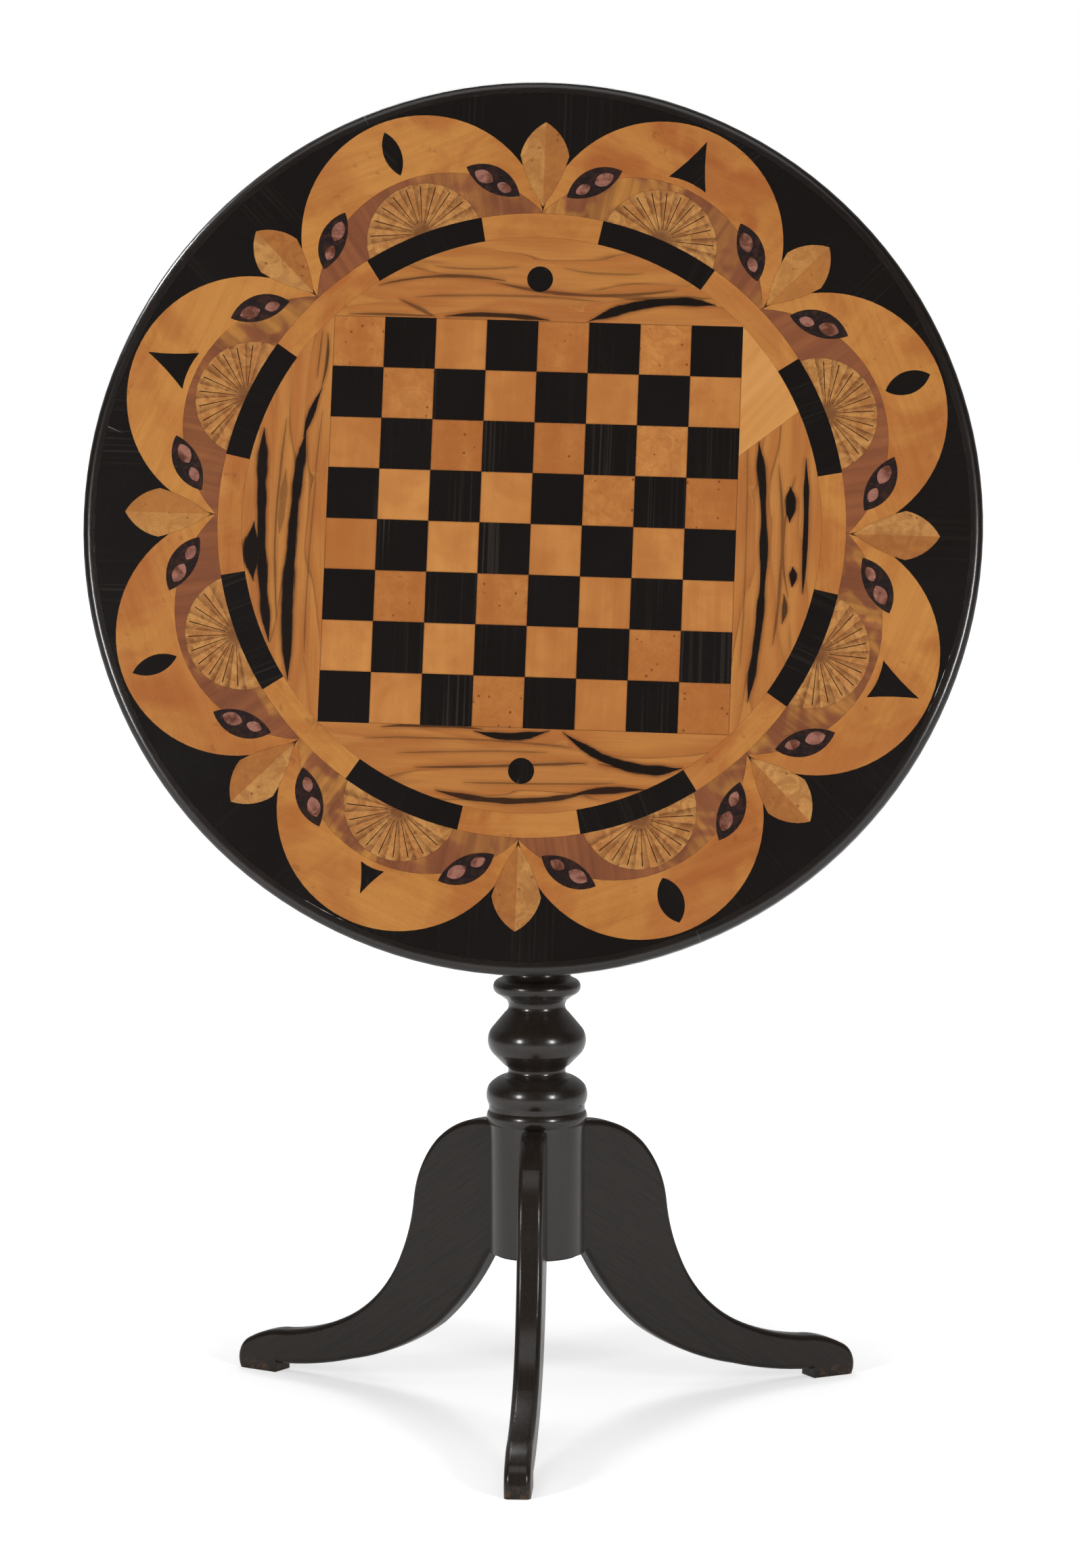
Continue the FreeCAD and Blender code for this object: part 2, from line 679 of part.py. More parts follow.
def build_hinge_block():
    body = document.addObject("PartDesign::Body", "hinge_block_body")
    profile = add_sketch(body, "block_profile", "YZ_Plane")
    lean = math.radians(mm.tilt_angle)
    round_end = (-pin_to_face * math.sin(lean), pin_to_face * math.cos(lean))
    round_middle = (-pin_to_face * math.sin(lean / 2), pin_to_face * math.cos(lean / 2))
    stop_foot = -pin_to_face * ((1 + math.cos(lean)) / math.sin(lean))
    back = block_back_face
    soft = size.block_edge_round
    corner = soft * (1 - math.sqrt(0.5))

    def at(y, z):
        return (y - size.pin_forward, z + size.pin_height)

    draw_outline(
        profile,
        [
            at(stop_foot, -pin_to_face),
            at(back - soft, -pin_to_face),
            (at(back - corner, corner - pin_to_face), at(back, soft - pin_to_face)),
            at(back, pin_to_face),
            at(NOTHING, pin_to_face),
            (at(*round_middle), at(*round_end)),
        ],
    )
    add_pad(body, "block_board", profile, size.block_width, both_ways=True)

    tenon = add_sketch(body, "block_tenon_hole", "XY_Plane")
    raise_sketch(tenon, block_underside)
    draw_circle(tenon, (NOTHING, NOTHING), size.tenon_radius + size.seat_fit)
    add_pocket(body, "block_tenon_cut", tenon, size.block_thickness + size.overrun, reverse=True)

    for name, side in (("right", -1), ("left", 1)):
        bore = add_sketch(body, f"block_pin_{name}", "YZ_Plane")
        reach = size.block_width / 2 * -side
        raise_sketch(bore, reach)
        draw_circle(bore, at(NOTHING, NOTHING), size.pin_radius + size.seat_fit)
        depth = size.pin_in_block + size.pin_end_gap
        add_pocket(body, f"block_pin_cut_{name}", bore, depth, reverse=side > 0)

    mortise = add_sketch(body, "block_mortise", "XZ_Plane")
    raise_sketch(mortise, -size.block_back)
    half = size.bolt_width / 2 + size.bolt_fit
    low = size.pin_height + bolt_underside - size.bolt_fit
    high = size.pin_height + bolt_underside + size.bolt_thickness + size.bolt_fit
    draw_outline(mortise, [(-half, low), (half, low), (half, high), (-half, high)])
    add_pocket(body, "block_mortise_cut", mortise, size.mortise_depth, reverse=True)

    for name, side in (("right", 1), ("left", -1)):
        pilot = add_sketch(body, f"keeper_pilot_{name}", "XZ_Plane")
        raise_sketch(pilot, -size.block_back)
        across = (size.keeper_width / 2 - size.keeper_screw_inset) * side
        draw_circle(
            pilot, (across, size.pin_height + bolt_middle),
            size.small_screw_shank + size.screw_fit,
        )
        add_pocket(body, f"keeper_pilot_cut_{name}", pilot, size.small_screw_length, reverse=True)
    document.recompute()
    keep("hinge_block", body)


WEDGE_LENGTH_SHARE = 1.8


def build_tenon_wedge():
    """Wedge in the tenon's slot, its length a share of the tenon's radius."""
    body = document.addObject("PartDesign::Body", "tenon_wedge_body")
    profile = add_sketch(body, "wedge_profile", "XZ_Plane")
    tenon_top = size.pin_height + pin_to_face - size.tenon_shy
    foot = tenon_top - size.wedge_depth + size.wedge_fit * 2
    half_foot = size.wedge_width_foot / 2 - size.wedge_fit
    half_top = size.wedge_width_top / 2 - size.wedge_fit
    draw_outline(
        profile,
        [(-half_foot, foot), (half_foot, foot), (half_top, tenon_top), (-half_top, tenon_top)],
    )
    add_pad(body, "wedge_board", profile, size.tenon_radius * WEDGE_LENGTH_SHARE, both_ways=True)
    document.recompute()
    keep("tenon_wedge", body)


def build_pivot_pins():
    pins = []
    length = size.pin_in_block + size.bearer_gap + size.pin_in_bearer
    start = size.block_width / 2 - size.pin_in_block
    for name, side, axis in (("right", 1, "+x"), ("left", -1, "-x")):
        foot = (start * side, -size.pin_forward, size.pin_height)
        pins.append(cylinder(f"pivot_pin_{name}", size.pin_radius, length, foot, axis))
    keep("pivot_pins", group("pivot_pin_pair", pins))


# Keeper on the block's back edge, and the catch that rides under the top


def build_keeper():
    half = size.keeper_width / 2
    low = (-half, size.block_back, size.pin_height + keeper_top - size.keeper_height)
    plate = box("keeper_plate", low, (size.keeper_width, size.keeper_thickness, size.keeper_height))
    mouth_half = size.bolt_width / 2 + size.bolt_fit
    mouth = box(
        "keeper_mouth",
        (
            -mouth_half,
            size.block_back - size.overrun,
            size.pin_height + bolt_underside - size.bolt_fit,
        ),
        (
            mouth_half * 2,
            size.keeper_thickness + size.overrun * 2,
            size.bolt_thickness + size.bolt_fit * 2,
        ),
    )
    places = []
    holes = []
    for number, side in enumerate((1, -1)):
        across = (half - size.keeper_screw_inset) * side
        face = size.block_back + size.keeper_thickness
        places.append((across, face, size.pin_height + bolt_middle))
        holes += screw_hole(
            f"keeper_hole_{number}", places[-1], "-y",
            size.small_screw_head, size.small_screw_shank, size.keeper_thickness + size.overrun,
        )
    keep("catch_keeper", cut("keeper_cut", plate, mouth, *holes))
    feature("keeper_screws", placed_screws(small_screw(), map(bound_vector, places), "-y"))


def catch_screw_places():
    across = size.catch_width / 2 - size.catch_screw_inset
    along = size.guide_length + size.catch_screw_inset
    places = []
    for side in (1, -1):
        for y in (catch_front + along, catch_rear - along):
            places.append((across * side, y, underside - size.catch_base))
    return places


def build_catch_plate():
    half = size.catch_width / 2
    plate_low = underside - size.catch_base
    base = box(
        "catch_base_plate", (-half, catch_front, plate_low),
        (size.catch_width, size.catch_length, size.catch_base),
    )
    loop_half = size.bolt_width / 2 + size.bolt_fit + size.guide_wall
    loop_low = bolt_underside - size.bolt_fit - size.guide_wall
    rear_loop = catch_rear - size.guide_length
    loops = [
        box(
            f"catch_loop_{name}", (-loop_half, y, loop_low),
            (loop_half * 2, size.guide_length, plate_low - loop_low),
        )
        for name, y in (("front", catch_front), ("rear", rear_loop))
    ]
    window_half = size.bolt_width / 2 + size.bolt_fit
    window = box(
        "catch_window", (-window_half, catch_front - size.overrun, bolt_underside - size.bolt_fit),
        (
            window_half * 2,
            size.guide_length + size.overrun * 2,
            size.bolt_thickness + size.bolt_fit * 2,
        ),
    )
    rod_hole = cylinder(
        "catch_rod_hole", size.bolt_rod_radius + size.bolt_fit,
        size.guide_length + size.overrun * 2,
        (NOTHING, rear_loop - size.overrun, bolt_middle), "+y",
    )
    places = catch_screw_places()
    holes = []
    for number, place in enumerate(places):
        holes += screw_hole(
            f"catch_hole_{number}", place, "+z",
            size.small_screw_head, size.small_screw_shank, size.catch_base + size.overrun,
        )
    whole = fuse("catch_casting", [base] + loops)
    keep("catch_plate", cut("catch_plate_cut", whole, window, rod_hole, *holes), top_place)
    screws = placed_screws(small_screw(), map(bound_vector, places), "+z")
    feature("catch_screws", screws, top_place)


def build_catch_bolt():
    body = document.addObject("PartDesign::Body", "catch_bolt_body")
    side_view = add_sketch(body, "bolt_side", "YZ_Plane")
    bolt_top = bolt_underside + size.bolt_thickness
    shoulder = nose_tip + size.bolt_solid_length
    draw_outline(
        side_view,
        [
            (nose_tip, bolt_top - size.bolt_thickness / 4),
            (nose_tip + size.bolt_bevel, bolt_underside),
            (shoulder, bolt_underside),
            (shoulder, bolt_top),
            (nose_tip, bolt_top),
        ],
    )
    add_pad(body, "bolt_flat", side_view, size.bolt_width, both_ways=True)
    rod = add_sketch(body, "bolt_rod_end", "XZ_Plane")
    raise_sketch(rod, -shoulder)
    draw_circle(rod, (NOTHING, bolt_middle), size.bolt_rod_radius)
    rod_pad = add_pad(body, "bolt_rod", rod, catch_rear + size.bolt_tail - shoulder)
    rod_pad.Reversed = True
    knob = add_sketch(body, "knob_profile", "YZ_Plane")
    middle = nose_tip + size.knob_place
    neck = bolt_underside - size.knob_stem_length
    ball_low = neck - size.knob_radius * 2
    ball_side = (middle + size.knob_radius, neck - size.knob_radius)
    draw_outline(
        knob,
        [
            (middle, bolt_underside + size.bolt_thickness / 2),
            (middle, ball_low),
            (ball_side, (middle + size.knob_stem_radius, neck - size.knob_stem_radius / 4)),
            (middle + size.knob_stem_radius, bolt_underside + size.bolt_thickness / 2),
        ],
    )
    foot = Vector(middle.value, ball_low.value, 0)
    head = Vector(middle.value, bolt_top.value, 0)
    axis = knob.addGeometry(Part.LineSegment(foot, head), True)
    ties = []
    tie_point(ties, axis, 1, (middle, ball_low))
    tie_point(ties, axis, 2, (middle, bolt_top))
    apply_ties(knob, ties)
    document.recompute()
    turned = body.newObject("PartDesign::Revolution", "bolt_knob")
    turned.Profile = knob
    turned.ReferenceAxis = (knob, ["Axis0"])
    turned.Angle = 360
    document.recompute()
    keep("catch_bolt", body, top_place)


def biarc(start, start_way, finish, finish_way):
    """Two arcs that leave one point along one direction and reach another along its own."""
    across = finish - start
    ways = start_way + finish_way
    square = 2 * (1 - start_way.dot(finish_way))
    linear = 2 * across.dot(ways)
    reach = (-linear + math.sqrt(linear**2 + 4 * square * across.dot(across))) / (2 * square)
    joint = (start + start_way * reach + finish - finish_way * reach) * 0.5
    arcs = []
    for foot, way, end in ((start, start_way, joint), (finish, -finish_way, joint)):
        chord = end - foot
        along = chord.normalize() if chord.Length else chord
        chord = end - foot
        half_turn = math.acos(max(-1.0, min(1.0, way.dot(along))))
        outward = (way - along * way.dot(along)).normalize()
        rise = chord.Length / 2 * math.tan(half_turn / 2)
        via = foot + chord * 0.5 + outward * rise
        arcs.append((foot, via, end))
    first, second = arcs
    return [Part.Arc(*first).toShape(), Part.Arc(second[2], second[1], second[0]).toShape()]


SPRING_TURNS = 6
STEPS_PER_TURN = 4


def build_catch_spring():
    """Compression spring round the bolt's rod, one open coil of biarcs."""
    start = (nose_tip + size.bolt_solid_length + size.spring_end_gap).value
    finish = (catch_rear - size.guide_length - size.spring_end_gap).value
    wire = mm.spring_wire / 2
    coil = mm.bolt_rod_radius + mm.spring_clearance + wire
    rise = (finish - start - 2 * wire) / (SPRING_TURNS * 2 * math.pi)

    def point(turn):
        return Vector(
            coil * math.cos(turn), start + wire + rise * turn,
            bolt_middle.value + coil * math.sin(turn),
        )

    def way(turn):
        return Vector(-coil * math.sin(turn), rise, coil * math.cos(turn)).normalize()

    turns = [2 * math.pi * step / STEPS_PER_TURN for step in range(SPRING_TURNS * STEPS_PER_TURN + 1)]
    edges = []
    for here, there in zip(turns, turns[1:]):
        edges += biarc(point(here), way(here), point(there), way(there))
    path = Part.Wire(edges)
    section = Part.Wire([Part.Circle(point(0), way(0), wire).toShape()])
    coiled = path.makePipeShell([section], True, False)
    print(f"spring: gap between turns {rise * 2 * math.pi - 2 * wire:.2f} mm")
    feature("catch_spring", coiled, top_place)


# Bearers: two rails under the top that hang on the pins

# Places of the screws along a bearer, as shares of its length from its middle.
BEARER_SCREW_SHARES = (-0.38, -0.2, 0.12, 0.38)


def bearer_screw_places(side):
    across = (bearer_near_side + size.bearer_thickness / 2) * side
    level = underside - size.bearer_depth + size.bearer_counterbore
    return [
        (across, size.pin_forward + size.bearer_length * share, level)
        for share in BEARER_SCREW_SHARES
    ]


def build_bearer(node, side):
    body = document.addObject("PartDesign::Body", node + "_body")
    profile = add_sketch(body, node + "_profile", "YZ_Plane")
    raise_sketch(profile, bearer_near_side if side > 0 else -bearer_near_side - size.bearer_thickness)
    middle = size.pin_forward
    half = size.bearer_length / 2
    low = underside - size.bearer_depth
    draw_outline(
        profile,
        [
            (middle - half, underside - size.bearer_tip_depth),
            (middle - half + size.bearer_slope, low),
            (middle + half - size.bearer_slope, low),
            (middle + half, underside - size.bearer_tip_depth),
            (middle + half, underside),
            (middle - half, underside),
        ],
    )
    add_pad(body, node + "_board", profile, size.bearer_thickness)
    bore = add_sketch(body, node + "_pin_bore", "YZ_Plane")
    raise_sketch(bore, bearer_near_side * side)
    draw_circle(bore, (NOTHING, NOTHING), size.pin_radius + size.pin_fit)
    depth = size.pin_in_bearer + size.pin_end_gap
    add_pocket(body, node + "_pin_bore_cut", bore, depth, reverse=side > 0)
    for number, place in enumerate(bearer_screw_places(side)):
        shank = add_sketch(body, f"{node}_shank_{number}", "XY_Plane")
        raise_sketch(shank, underside)
        draw_circle(shank, place[:2], size.wood_screw_shank + size.screw_fit)
        add_pocket(body, f"{node}_shank_cut_{number}", shank, size.bearer_depth)
        well = add_sketch(body, f"{node}_well_{number}", "XY_Plane")
        raise_sketch(well, underside - size.bearer_depth)
        draw_circle(well, place[:2], size.wood_screw_head + size.screw_fit)
        deep = size.bearer_counterbore + size.wood_screw_head - size.wood_screw_shank
        add_pocket(body, f"{node}_well_cut_{number}", well, deep, reverse=True)
    document.recompute()
    keep(node, body, top_place)


def build_bearer_screws():
    places = bearer_screw_places(1) + bearer_screw_places(-1)
    screw = screw_solid(mm.wood_screw_length, mm.wood_screw_head, mm.wood_screw_shank)
    feature("bearer_screws", placed_screws(screw, map(bound_vector, places), "+z"), top_place)


# Core of the top: planks glued edge to edge, drilled for the screws


def build_core_planks():
    width = field_radius * (2 / PLANKS)
    pilots = []
    for number, place in enumerate(bearer_screw_places(1) + bearer_screw_places(-1)):
        depth = size.wood_screw_length + size.screw_fit
        radius = size.wood_screw_shank + size.screw_fit
        pilots.append(cylinder(f"core_pilot_{number}", radius, depth, place))
    for number, place in enumerate(catch_screw_places()):
        depth = size.small_screw_length + size.screw_fit
        radius = size.small_screw_shank + size.screw_fit
        pilots.append(cylinder(f"catch_pilot_{number}", radius, depth, place))
    for number in range(PLANKS):
        name = f"core_plank_{number + 1}"
        disc = cylinder(
            name + "_disc", field_radius, size.core_thickness,
            (NOTHING, size.pin_forward, underside),
        )
        low = size.pin_forward - field_radius + width * number + size.plank_gap / 2
        strip = box(
            name + "_strip", (-size.top_radius, low, underside - size.overrun),
            (size.top_radius * 2, width - size.plank_gap, size.core_thickness + size.overrun * 2),
        )
        keep(name, cut(name + "_drilled", common(name + "_sawn", disc, strip), *pilots), top_place)


# Edge moulding in curved lengths


def build_edge_moulding():
    inner = mm.top_radius - mm.rim_width
    outer = mm.top_radius
    low = 0.0
    high = (playing_level - underside).value
    corner = 1 - math.sqrt(0.5)
    top_round = mm.rim_round
    under_round = mm.rim_under_round

    def at(r, z):
        return Vector(r, 0, z)

    edges = [
        Part.LineSegment(at(inner, low), at(outer - under_round, low)),
        Part.Arc(
            at(outer - under_round, low),
            at(outer - under_round * corner, low + under_round * corner),
            at(outer, low + under_round),
        ),
        Part.LineSegment(at(outer, low + under_round), at(outer, high - top_round)),
        Part.Arc(
            at(outer, high - top_round),
            at(outer - top_round * corner, high - top_round * corner),
            at(outer - top_round, high),
        ),
        Part.LineSegment(at(outer - top_round, high), at(inner, high)),
        Part.LineSegment(at(inner, high), at(inner, low)),
    ]
    section = Part.Face(Part.Wire([edge.toShape() for edge in edges]))
    pieces = []
    step = 360 / RIM_PIECES
    gap = math.degrees(mm.joint_gap / outer)
    for number in range(RIM_PIECES):
        piece = section.revolve(Vector(), Vector(0, 0, 1), step - gap)
        piece.rotate(Vector(), Vector(0, 0, 1), step * (number + 0.5) + gap / 2)
        pieces.append(piece)
    rim_place = top_place.multiply(
        FreeCAD.Placement(Vector(0, mm.pin_forward, underside.value), FreeCAD.Rotation())
    )
    feature("edge_moulding", Part.makeCompound(pieces), rim_place)


# Chessboard, grained panels and dots, in the inlay's own frame: origin at the centre of the
# disc on the veneers' glued face


def build_squares():
    for node, parity in (("squares_light", 0), ("squares_dark", 1)):
        squares = []
        for column in range(SQUARES_PER_SIDE):
            for line in range(SQUARES_PER_SIDE):
                if (column + SQUARES_PER_SIDE - 1 - line) % 2 != parity:
                    continue
                low = (
                    size.square_side * column - board_half + size.joint_gap / 2,
                    size.square_side * line - board_half + size.joint_gap / 2,
                    NOTHING,
                )
                side = size.square_side - size.joint_gap
                name = f"{node}_{column}_{line}"
                squares.append(box(name, low, (side, side, size.veneer_thickness)))
        keep(node, group(node + "_group", squares), inlay_place)


# Corners of the pale patch beside the board's far right corner, in squares from the centre.
PATCH_SHARES = ((4.0, 1.46), (5.6, 2.73), (5.6, 4.2), (4.0, 4.2))
DOT_SHARE = 0.5


def patch_prism(grow, level, height):
    corners = [Vector(x * mm.square_side, y * mm.square_side, level) for x, y in PATCH_SHARES]
    middle = sum(corners, Vector()) * (1 / len(corners))
    corners = [corner + (corner - middle).normalize() * grow for corner in corners]
    face = Part.Face(Part.makePolygon(corners + corners[:1]))
    return face.extrude(Vector(0, 0, height))


def panel_blank(name, edge, quarter):
    """Circular segment between the board and the ring, for the side at a quarter turn."""
    radius = ring_inner - size.joint_gap
    disc = cylinder(name + "_disc", radius, size.veneer_thickness, (NOTHING, NOTHING, NOTHING))
    reach = size.top_radius
    level = -size.overrun
    height = size.veneer_thickness + size.overrun * 2
    wide = (reach * 2, reach, height)
    tall = (reach, reach * 2, height)
    strips = {
        "right": ((edge, -reach, level), tall),
        "far": ((-reach, edge, level), wide),
        "left": ((-edge - reach, -reach, level), tall),
        "near": ((-reach, -edge - reach, level), wide),
    }
    low, extent = strips[quarter]
    return common(name + "_segment", disc, box(name + "_strip", low, extent))


def build_panels():
    edge = board_half + size.joint_gap / 2
    dot_out = (board_half + ring_inner) * DOT_SHARE
    dots = []
    for quarter, side in (("far", 1), ("near", -1)):
        name = "panel_" + quarter
        centre = (NOTHING, dot_out * side, NOTHING)
        dots.append(cylinder(name + "_dot", size.dot_radius, size.veneer_thickness, centre))
        hole = cylinder(
            name + "_dot_hole", size.dot_radius + size.joint_gap,
            size.veneer_thickness + size.overrun * 2,
            (NOTHING, dot_out * side, -size.overrun),
        )
        keep(name, cut(name + "_cut", panel_blank(name, edge, quarter), hole), inlay_place)
    keep("panel_dots", group("panel_dot_pair", dots), inlay_place)
    keep("panel_left", panel_blank("panel_left", edge, "left"), inlay_place)
    blank = panel_blank("panel_right", edge, "right")
    notch = document.addObject("Part::Feature", "patch_notch")
    tall = mm.veneer_thickness + 2 * mm.overrun
    notch.Shape = patch_prism(mm.joint_gap, -mm.overrun, tall)
    keep("panel_right", cut("panel_right_cut", blank, notch), inlay_place)
    prism = document.addObject("Part::Feature", "patch_prism")
    prism.Shape = patch_prism(0, 0, mm.veneer_thickness)
    patch = common("corner_patch_trim", panel_blank("corner_patch", edge, "right"), prism)
    keep("corner_patch", patch, inlay_place)


# Curved inlay between the board and the edge


def polar(radius, degrees):
    turn = math.radians(degrees)
    return Vector(radius * math.cos(turn), radius * math.sin(turn), 0)


def veneer(wire):
    return Part.Face(wire).extrude(Vector(0, 0, mm.veneer_thickness))


def cutter(wire):
    """The same outline as a cutting shape that runs past both faces."""
    body = Part.Face(wire).extrude(Vector(0, 0, mm.veneer_thickness + 2 * mm.overrun))
    body.translate(Vector(0, 0, -mm.overrun))
    return body


def round_wire(centre, radius):
    return Part.Wire([Part.Circle(centre, Vector(0, 0, 1), radius).toShape()])


def joined(*edges):
    return Part.Wire([edge.toShape() for edge in edges])


def ring_sector(inner, outer, start, finish):
    """Outline between two radii and two directions."""
    middle = (start + finish) / 2
    return joined(
        Part.Arc(polar(outer, start), polar(outer, middle), polar(outer, finish)),
        Part.LineSegment(polar(outer, finish), polar(inner, finish)),
        Part.Arc(polar(inner, finish), polar(inner, middle), polar(inner, start)),
        Part.LineSegment(polar(inner, start), polar(outer, start)),
    )


def build_ring():
    inner = ring_inner.value
    outer = ring_outer.value
    step = 360 / RING_BLOCKS
    gap = math.degrees(mm.joint_gap / outer)
    for node, first in (("ring_light", 0), ("ring_dark", 1)):
        blocks = []
        for number in range(first, RING_BLOCKS, 2):
            middle = step * number
            start = middle - (step - gap) / 2
            finish = middle + (step - gap) / 2
            blocks.append(veneer(ring_sector(inner, outer, start, finish)))
        feature(node, Part.makeCompound(blocks), inlay_place)


def crowned_circle(crown, crossing, half_angle):
    """Centre distance and radius of the circle on a lobe's axis that has its crown at one
    distance from the disc's centre and passes a second distance at an angle each side."""
    across = math.cos(math.radians(half_angle))
    centre = (crown**2 - crossing**2) / (2 * (crown - crossing * across))
    return centre, crown - centre


LOBE_STEP = 360 / LOBES
CUSP_ANGLE = LOBE_STEP / 2
FAN_HALF_ANGLE = 10.7
# Heights in a lobe, as shares of the band from the ring to the crown.
ZONE_CROWN_SHARE = 0.474
FAN_CROWN_SHARE = 0.42
# Pointed leaves between the lobes: distances as shares of the band, half widths likewise.
LEAF_BASE_SHARE = 0.06
LEAF_TIP_SHARE = 0.771
LEAF_WIDEST_SHARES = (0.487, 0.2035)
LEAF_LOWER_VIA_SHARES = (0.27, 0.125)
LEAF_UPPER_VIA_SHARES = (0.66, 0.128)
# Scrolls: the two ends as (share of the band, degrees from the lobe's axis), their bulges
# as shares of the band, and where the eyes lie along them.
SCROLL_OUTER_SHARES = (0.445, 10.2)
SCROLL_INNER_SHARES = (0.150, 18.4)
SCROLL_BULGE_SHARES = (0.125, 0.09)
EYE_STRETCH_SHARES = ((0.16, 0.50), (0.58, 0.84))
EYE_FULLNESS_SHARE = 0.62
# Ebony leaves and darts in the crescents. The leaves were cut by eye and differ in width.
EBONY_LEAF_SHARES = (0.525, 0.915)
EBONY_LEAF_HALF_SHARES = {22.5: 0.093, 112.5: 0.073, 202.5: 0.077, 292.5: 0.103}
DART_SHARES = (0.515, 0.905, 0.165)
DART_HOLLOW_SHARES = (0.14, 0.07)
SMALL_DART_SHARE = 0.62
SMALL_DART_ANGLE = 247.5


def band():
    return lobe_crown() - ring_outer.value


def lobe_crown():
    return field_radius.value - mm.crown_margin


def at_share(share):
    """Distance from the disc's centre at a share of the band."""
    return ring_outer.value + band() * share


def lobe_circle(degrees, grow=0.0):
    centre, radius = crowned_circle(lobe_crown(), ring_outer.value + mm.cusp_margin, CUSP_ANGLE)
    return round_wire(polar(centre, degrees), radius + grow)


def zone_circle(degrees, grow=0.0):
    crossing = ring_outer.value + mm.cusp_margin
    centre, radius = crowned_circle(at_share(ZONE_CROWN_SHARE), crossing, CUSP_ANGLE)
    return round_wire(polar(centre, degrees), radius + grow)


def fan_circle(degrees, grow=0.0):
    crown = at_share(FAN_CROWN_SHARE)
    centre, radius = crowned_circle(crown, ring_outer.value, FAN_HALF_ANGLE)
    return round_wire(polar(centre, degrees), radius + grow)


def place_on_ray(distance, across, degrees):
    """Point at a distance along a ray and a distance to its left."""
    return polar(distance, degrees) + polar(across, degrees + 90)


def leaf_half(degrees, side, grow=0.0):
    """Edges of one side of a pointed leaf, from its base to its tip."""
    widest, half_width = LEAF_WIDEST_SHARES
    lower, lower_half = LEAF_LOWER_VIA_SHARES
    upper, upper_half = LEAF_UPPER_VIA_SHARES
    scale = band()
    base = place_on_ray(at_share(LEAF_BASE_SHARE) - grow, 0, degrees)
    tip = place_on_ray(at_share(LEAF_TIP_SHARE) + grow, 0, degrees)
    wide = place_on_ray(at_share(widest), side * (half_width * scale + grow), degrees)
    low = place_on_ray(at_share(lower), side * (lower_half * scale + grow), degrees)
    high = place_on_ray(at_share(upper), side * (upper_half * scale + grow), degrees)
    return [Part.Arc(base, low, wide), Part.Arc(wide, high, tip)], base, tip


def leaf_wire(degrees, grow=0.0):
    left, base, tip = leaf_half(degrees, 1, grow)
    right, base, tip = leaf_half(degrees, -1, grow)
    return joined(*left, *right)


def half_leaf_wire(degrees, side):
    edges, base, tip = leaf_half(degrees, side)
    return joined(*edges, Part.LineSegment(tip, base))


def lens_wire(start, finish, left_bulge, right_bulge):
    """Two arcs between two points, bulging to the left and right of the way between them."""
    middle = (start + finish) * 0.5
    along = (finish - start).normalize()
    left = Vector(-along.y, along.x, 0)
    return joined(
        Part.Arc(start, middle + left * left_bulge, finish),
        Part.Arc(finish, middle - left * right_bulge, start),
    )


def scroll_ends(degrees, side):
    outer_share, outer_angle = SCROLL_OUTER_SHARES
    inner_share, inner_angle = SCROLL_INNER_SHARES
    start = polar(at_share(outer_share), degrees + side * outer_angle)
    finish = polar(at_share(inner_share), degrees + side * inner_angle)
    return start, finish


def scroll_wire(degrees, side, grow=0.0):
    start, finish = scroll_ends(degrees, side)
    along = (finish - start).normalize()
    outward, inward = [share * band() + grow for share in SCROLL_BULGE_SHARES]
    bulges = (inward, outward) if side > 0 else (outward, inward)
    return lens_wire(start - along * grow, finish + along * grow, *bulges)


def eye_wires(degrees, side, grow=0.0):
    start, finish = scroll_ends(degrees, side)
    way = finish - start
    wires = []
    for low, high in EYE_STRETCH_SHARES:
        first = start + way * low
        last = start + way * high
        along = (last - first).normalize()
        bulge = (last - first).Length / 2 * EYE_FULLNESS_SHARE + grow
        wires.append(lens_wire(first - along * grow, last + along * grow, bulge, bulge))
    return wires


def ebony_leaf_wire(degrees, grow=0.0):
    low, high = EBONY_LEAF_SHARES
    start = polar(at_share(low) - grow, degrees)
    finish = polar(at_share(high) + grow, degrees)
    bulge = EBONY_LEAF_HALF_SHARES[degrees] * band() + grow
    return lens_wire(start, finish, bulge, bulge)


def dart_wire(degrees, grow=0.0):
    """Three-cornered dart with its point outwards and its sides curved in."""
    low, high, half = DART_SHARES
    if degrees == SMALL_DART_ANGLE:
        high = low + (high - low) * SMALL_DART_SHARE
        half = half * SMALL_DART_SHARE
    base_hollow, flank_hollow = [share * half * band() for share in DART_HOLLOW_SHARES]
    base = at_share(low)
    tip = polar(at_share(high), degrees)
    wide = half * band()
    corners = [place_on_ray(base, side * wide, degrees) for side in (1, -1)]
    foot = place_on_ray(base + base_hollow, 0, degrees)
    middle = (at_share(low) + at_share(high)) / 2
    flanks = [
        place_on_ray(middle, side * (wide / 2 - flank_hollow), degrees) for side in (1, -1)
    ]
    outline = joined(
        Part.Arc(corners[0], foot, corners[1]),
        Part.Arc(corners[1], flanks[1], tip),
        Part.Arc(tip, flanks[0], corners[0]),
    )
    return outline.makeOffset2D(grow) if grow else outline


SMALLEST_PIECE_SHARE = 0.002


def sound_pieces(shape):
    """Solids of a cut shape without the crumbs that a knife would not leave."""
    crumb = SMALLEST_PIECE_SHARE * band() ** 2 * mm.veneer_thickness
    return [solid for solid in shape.Solids if solid.Volume > crumb]


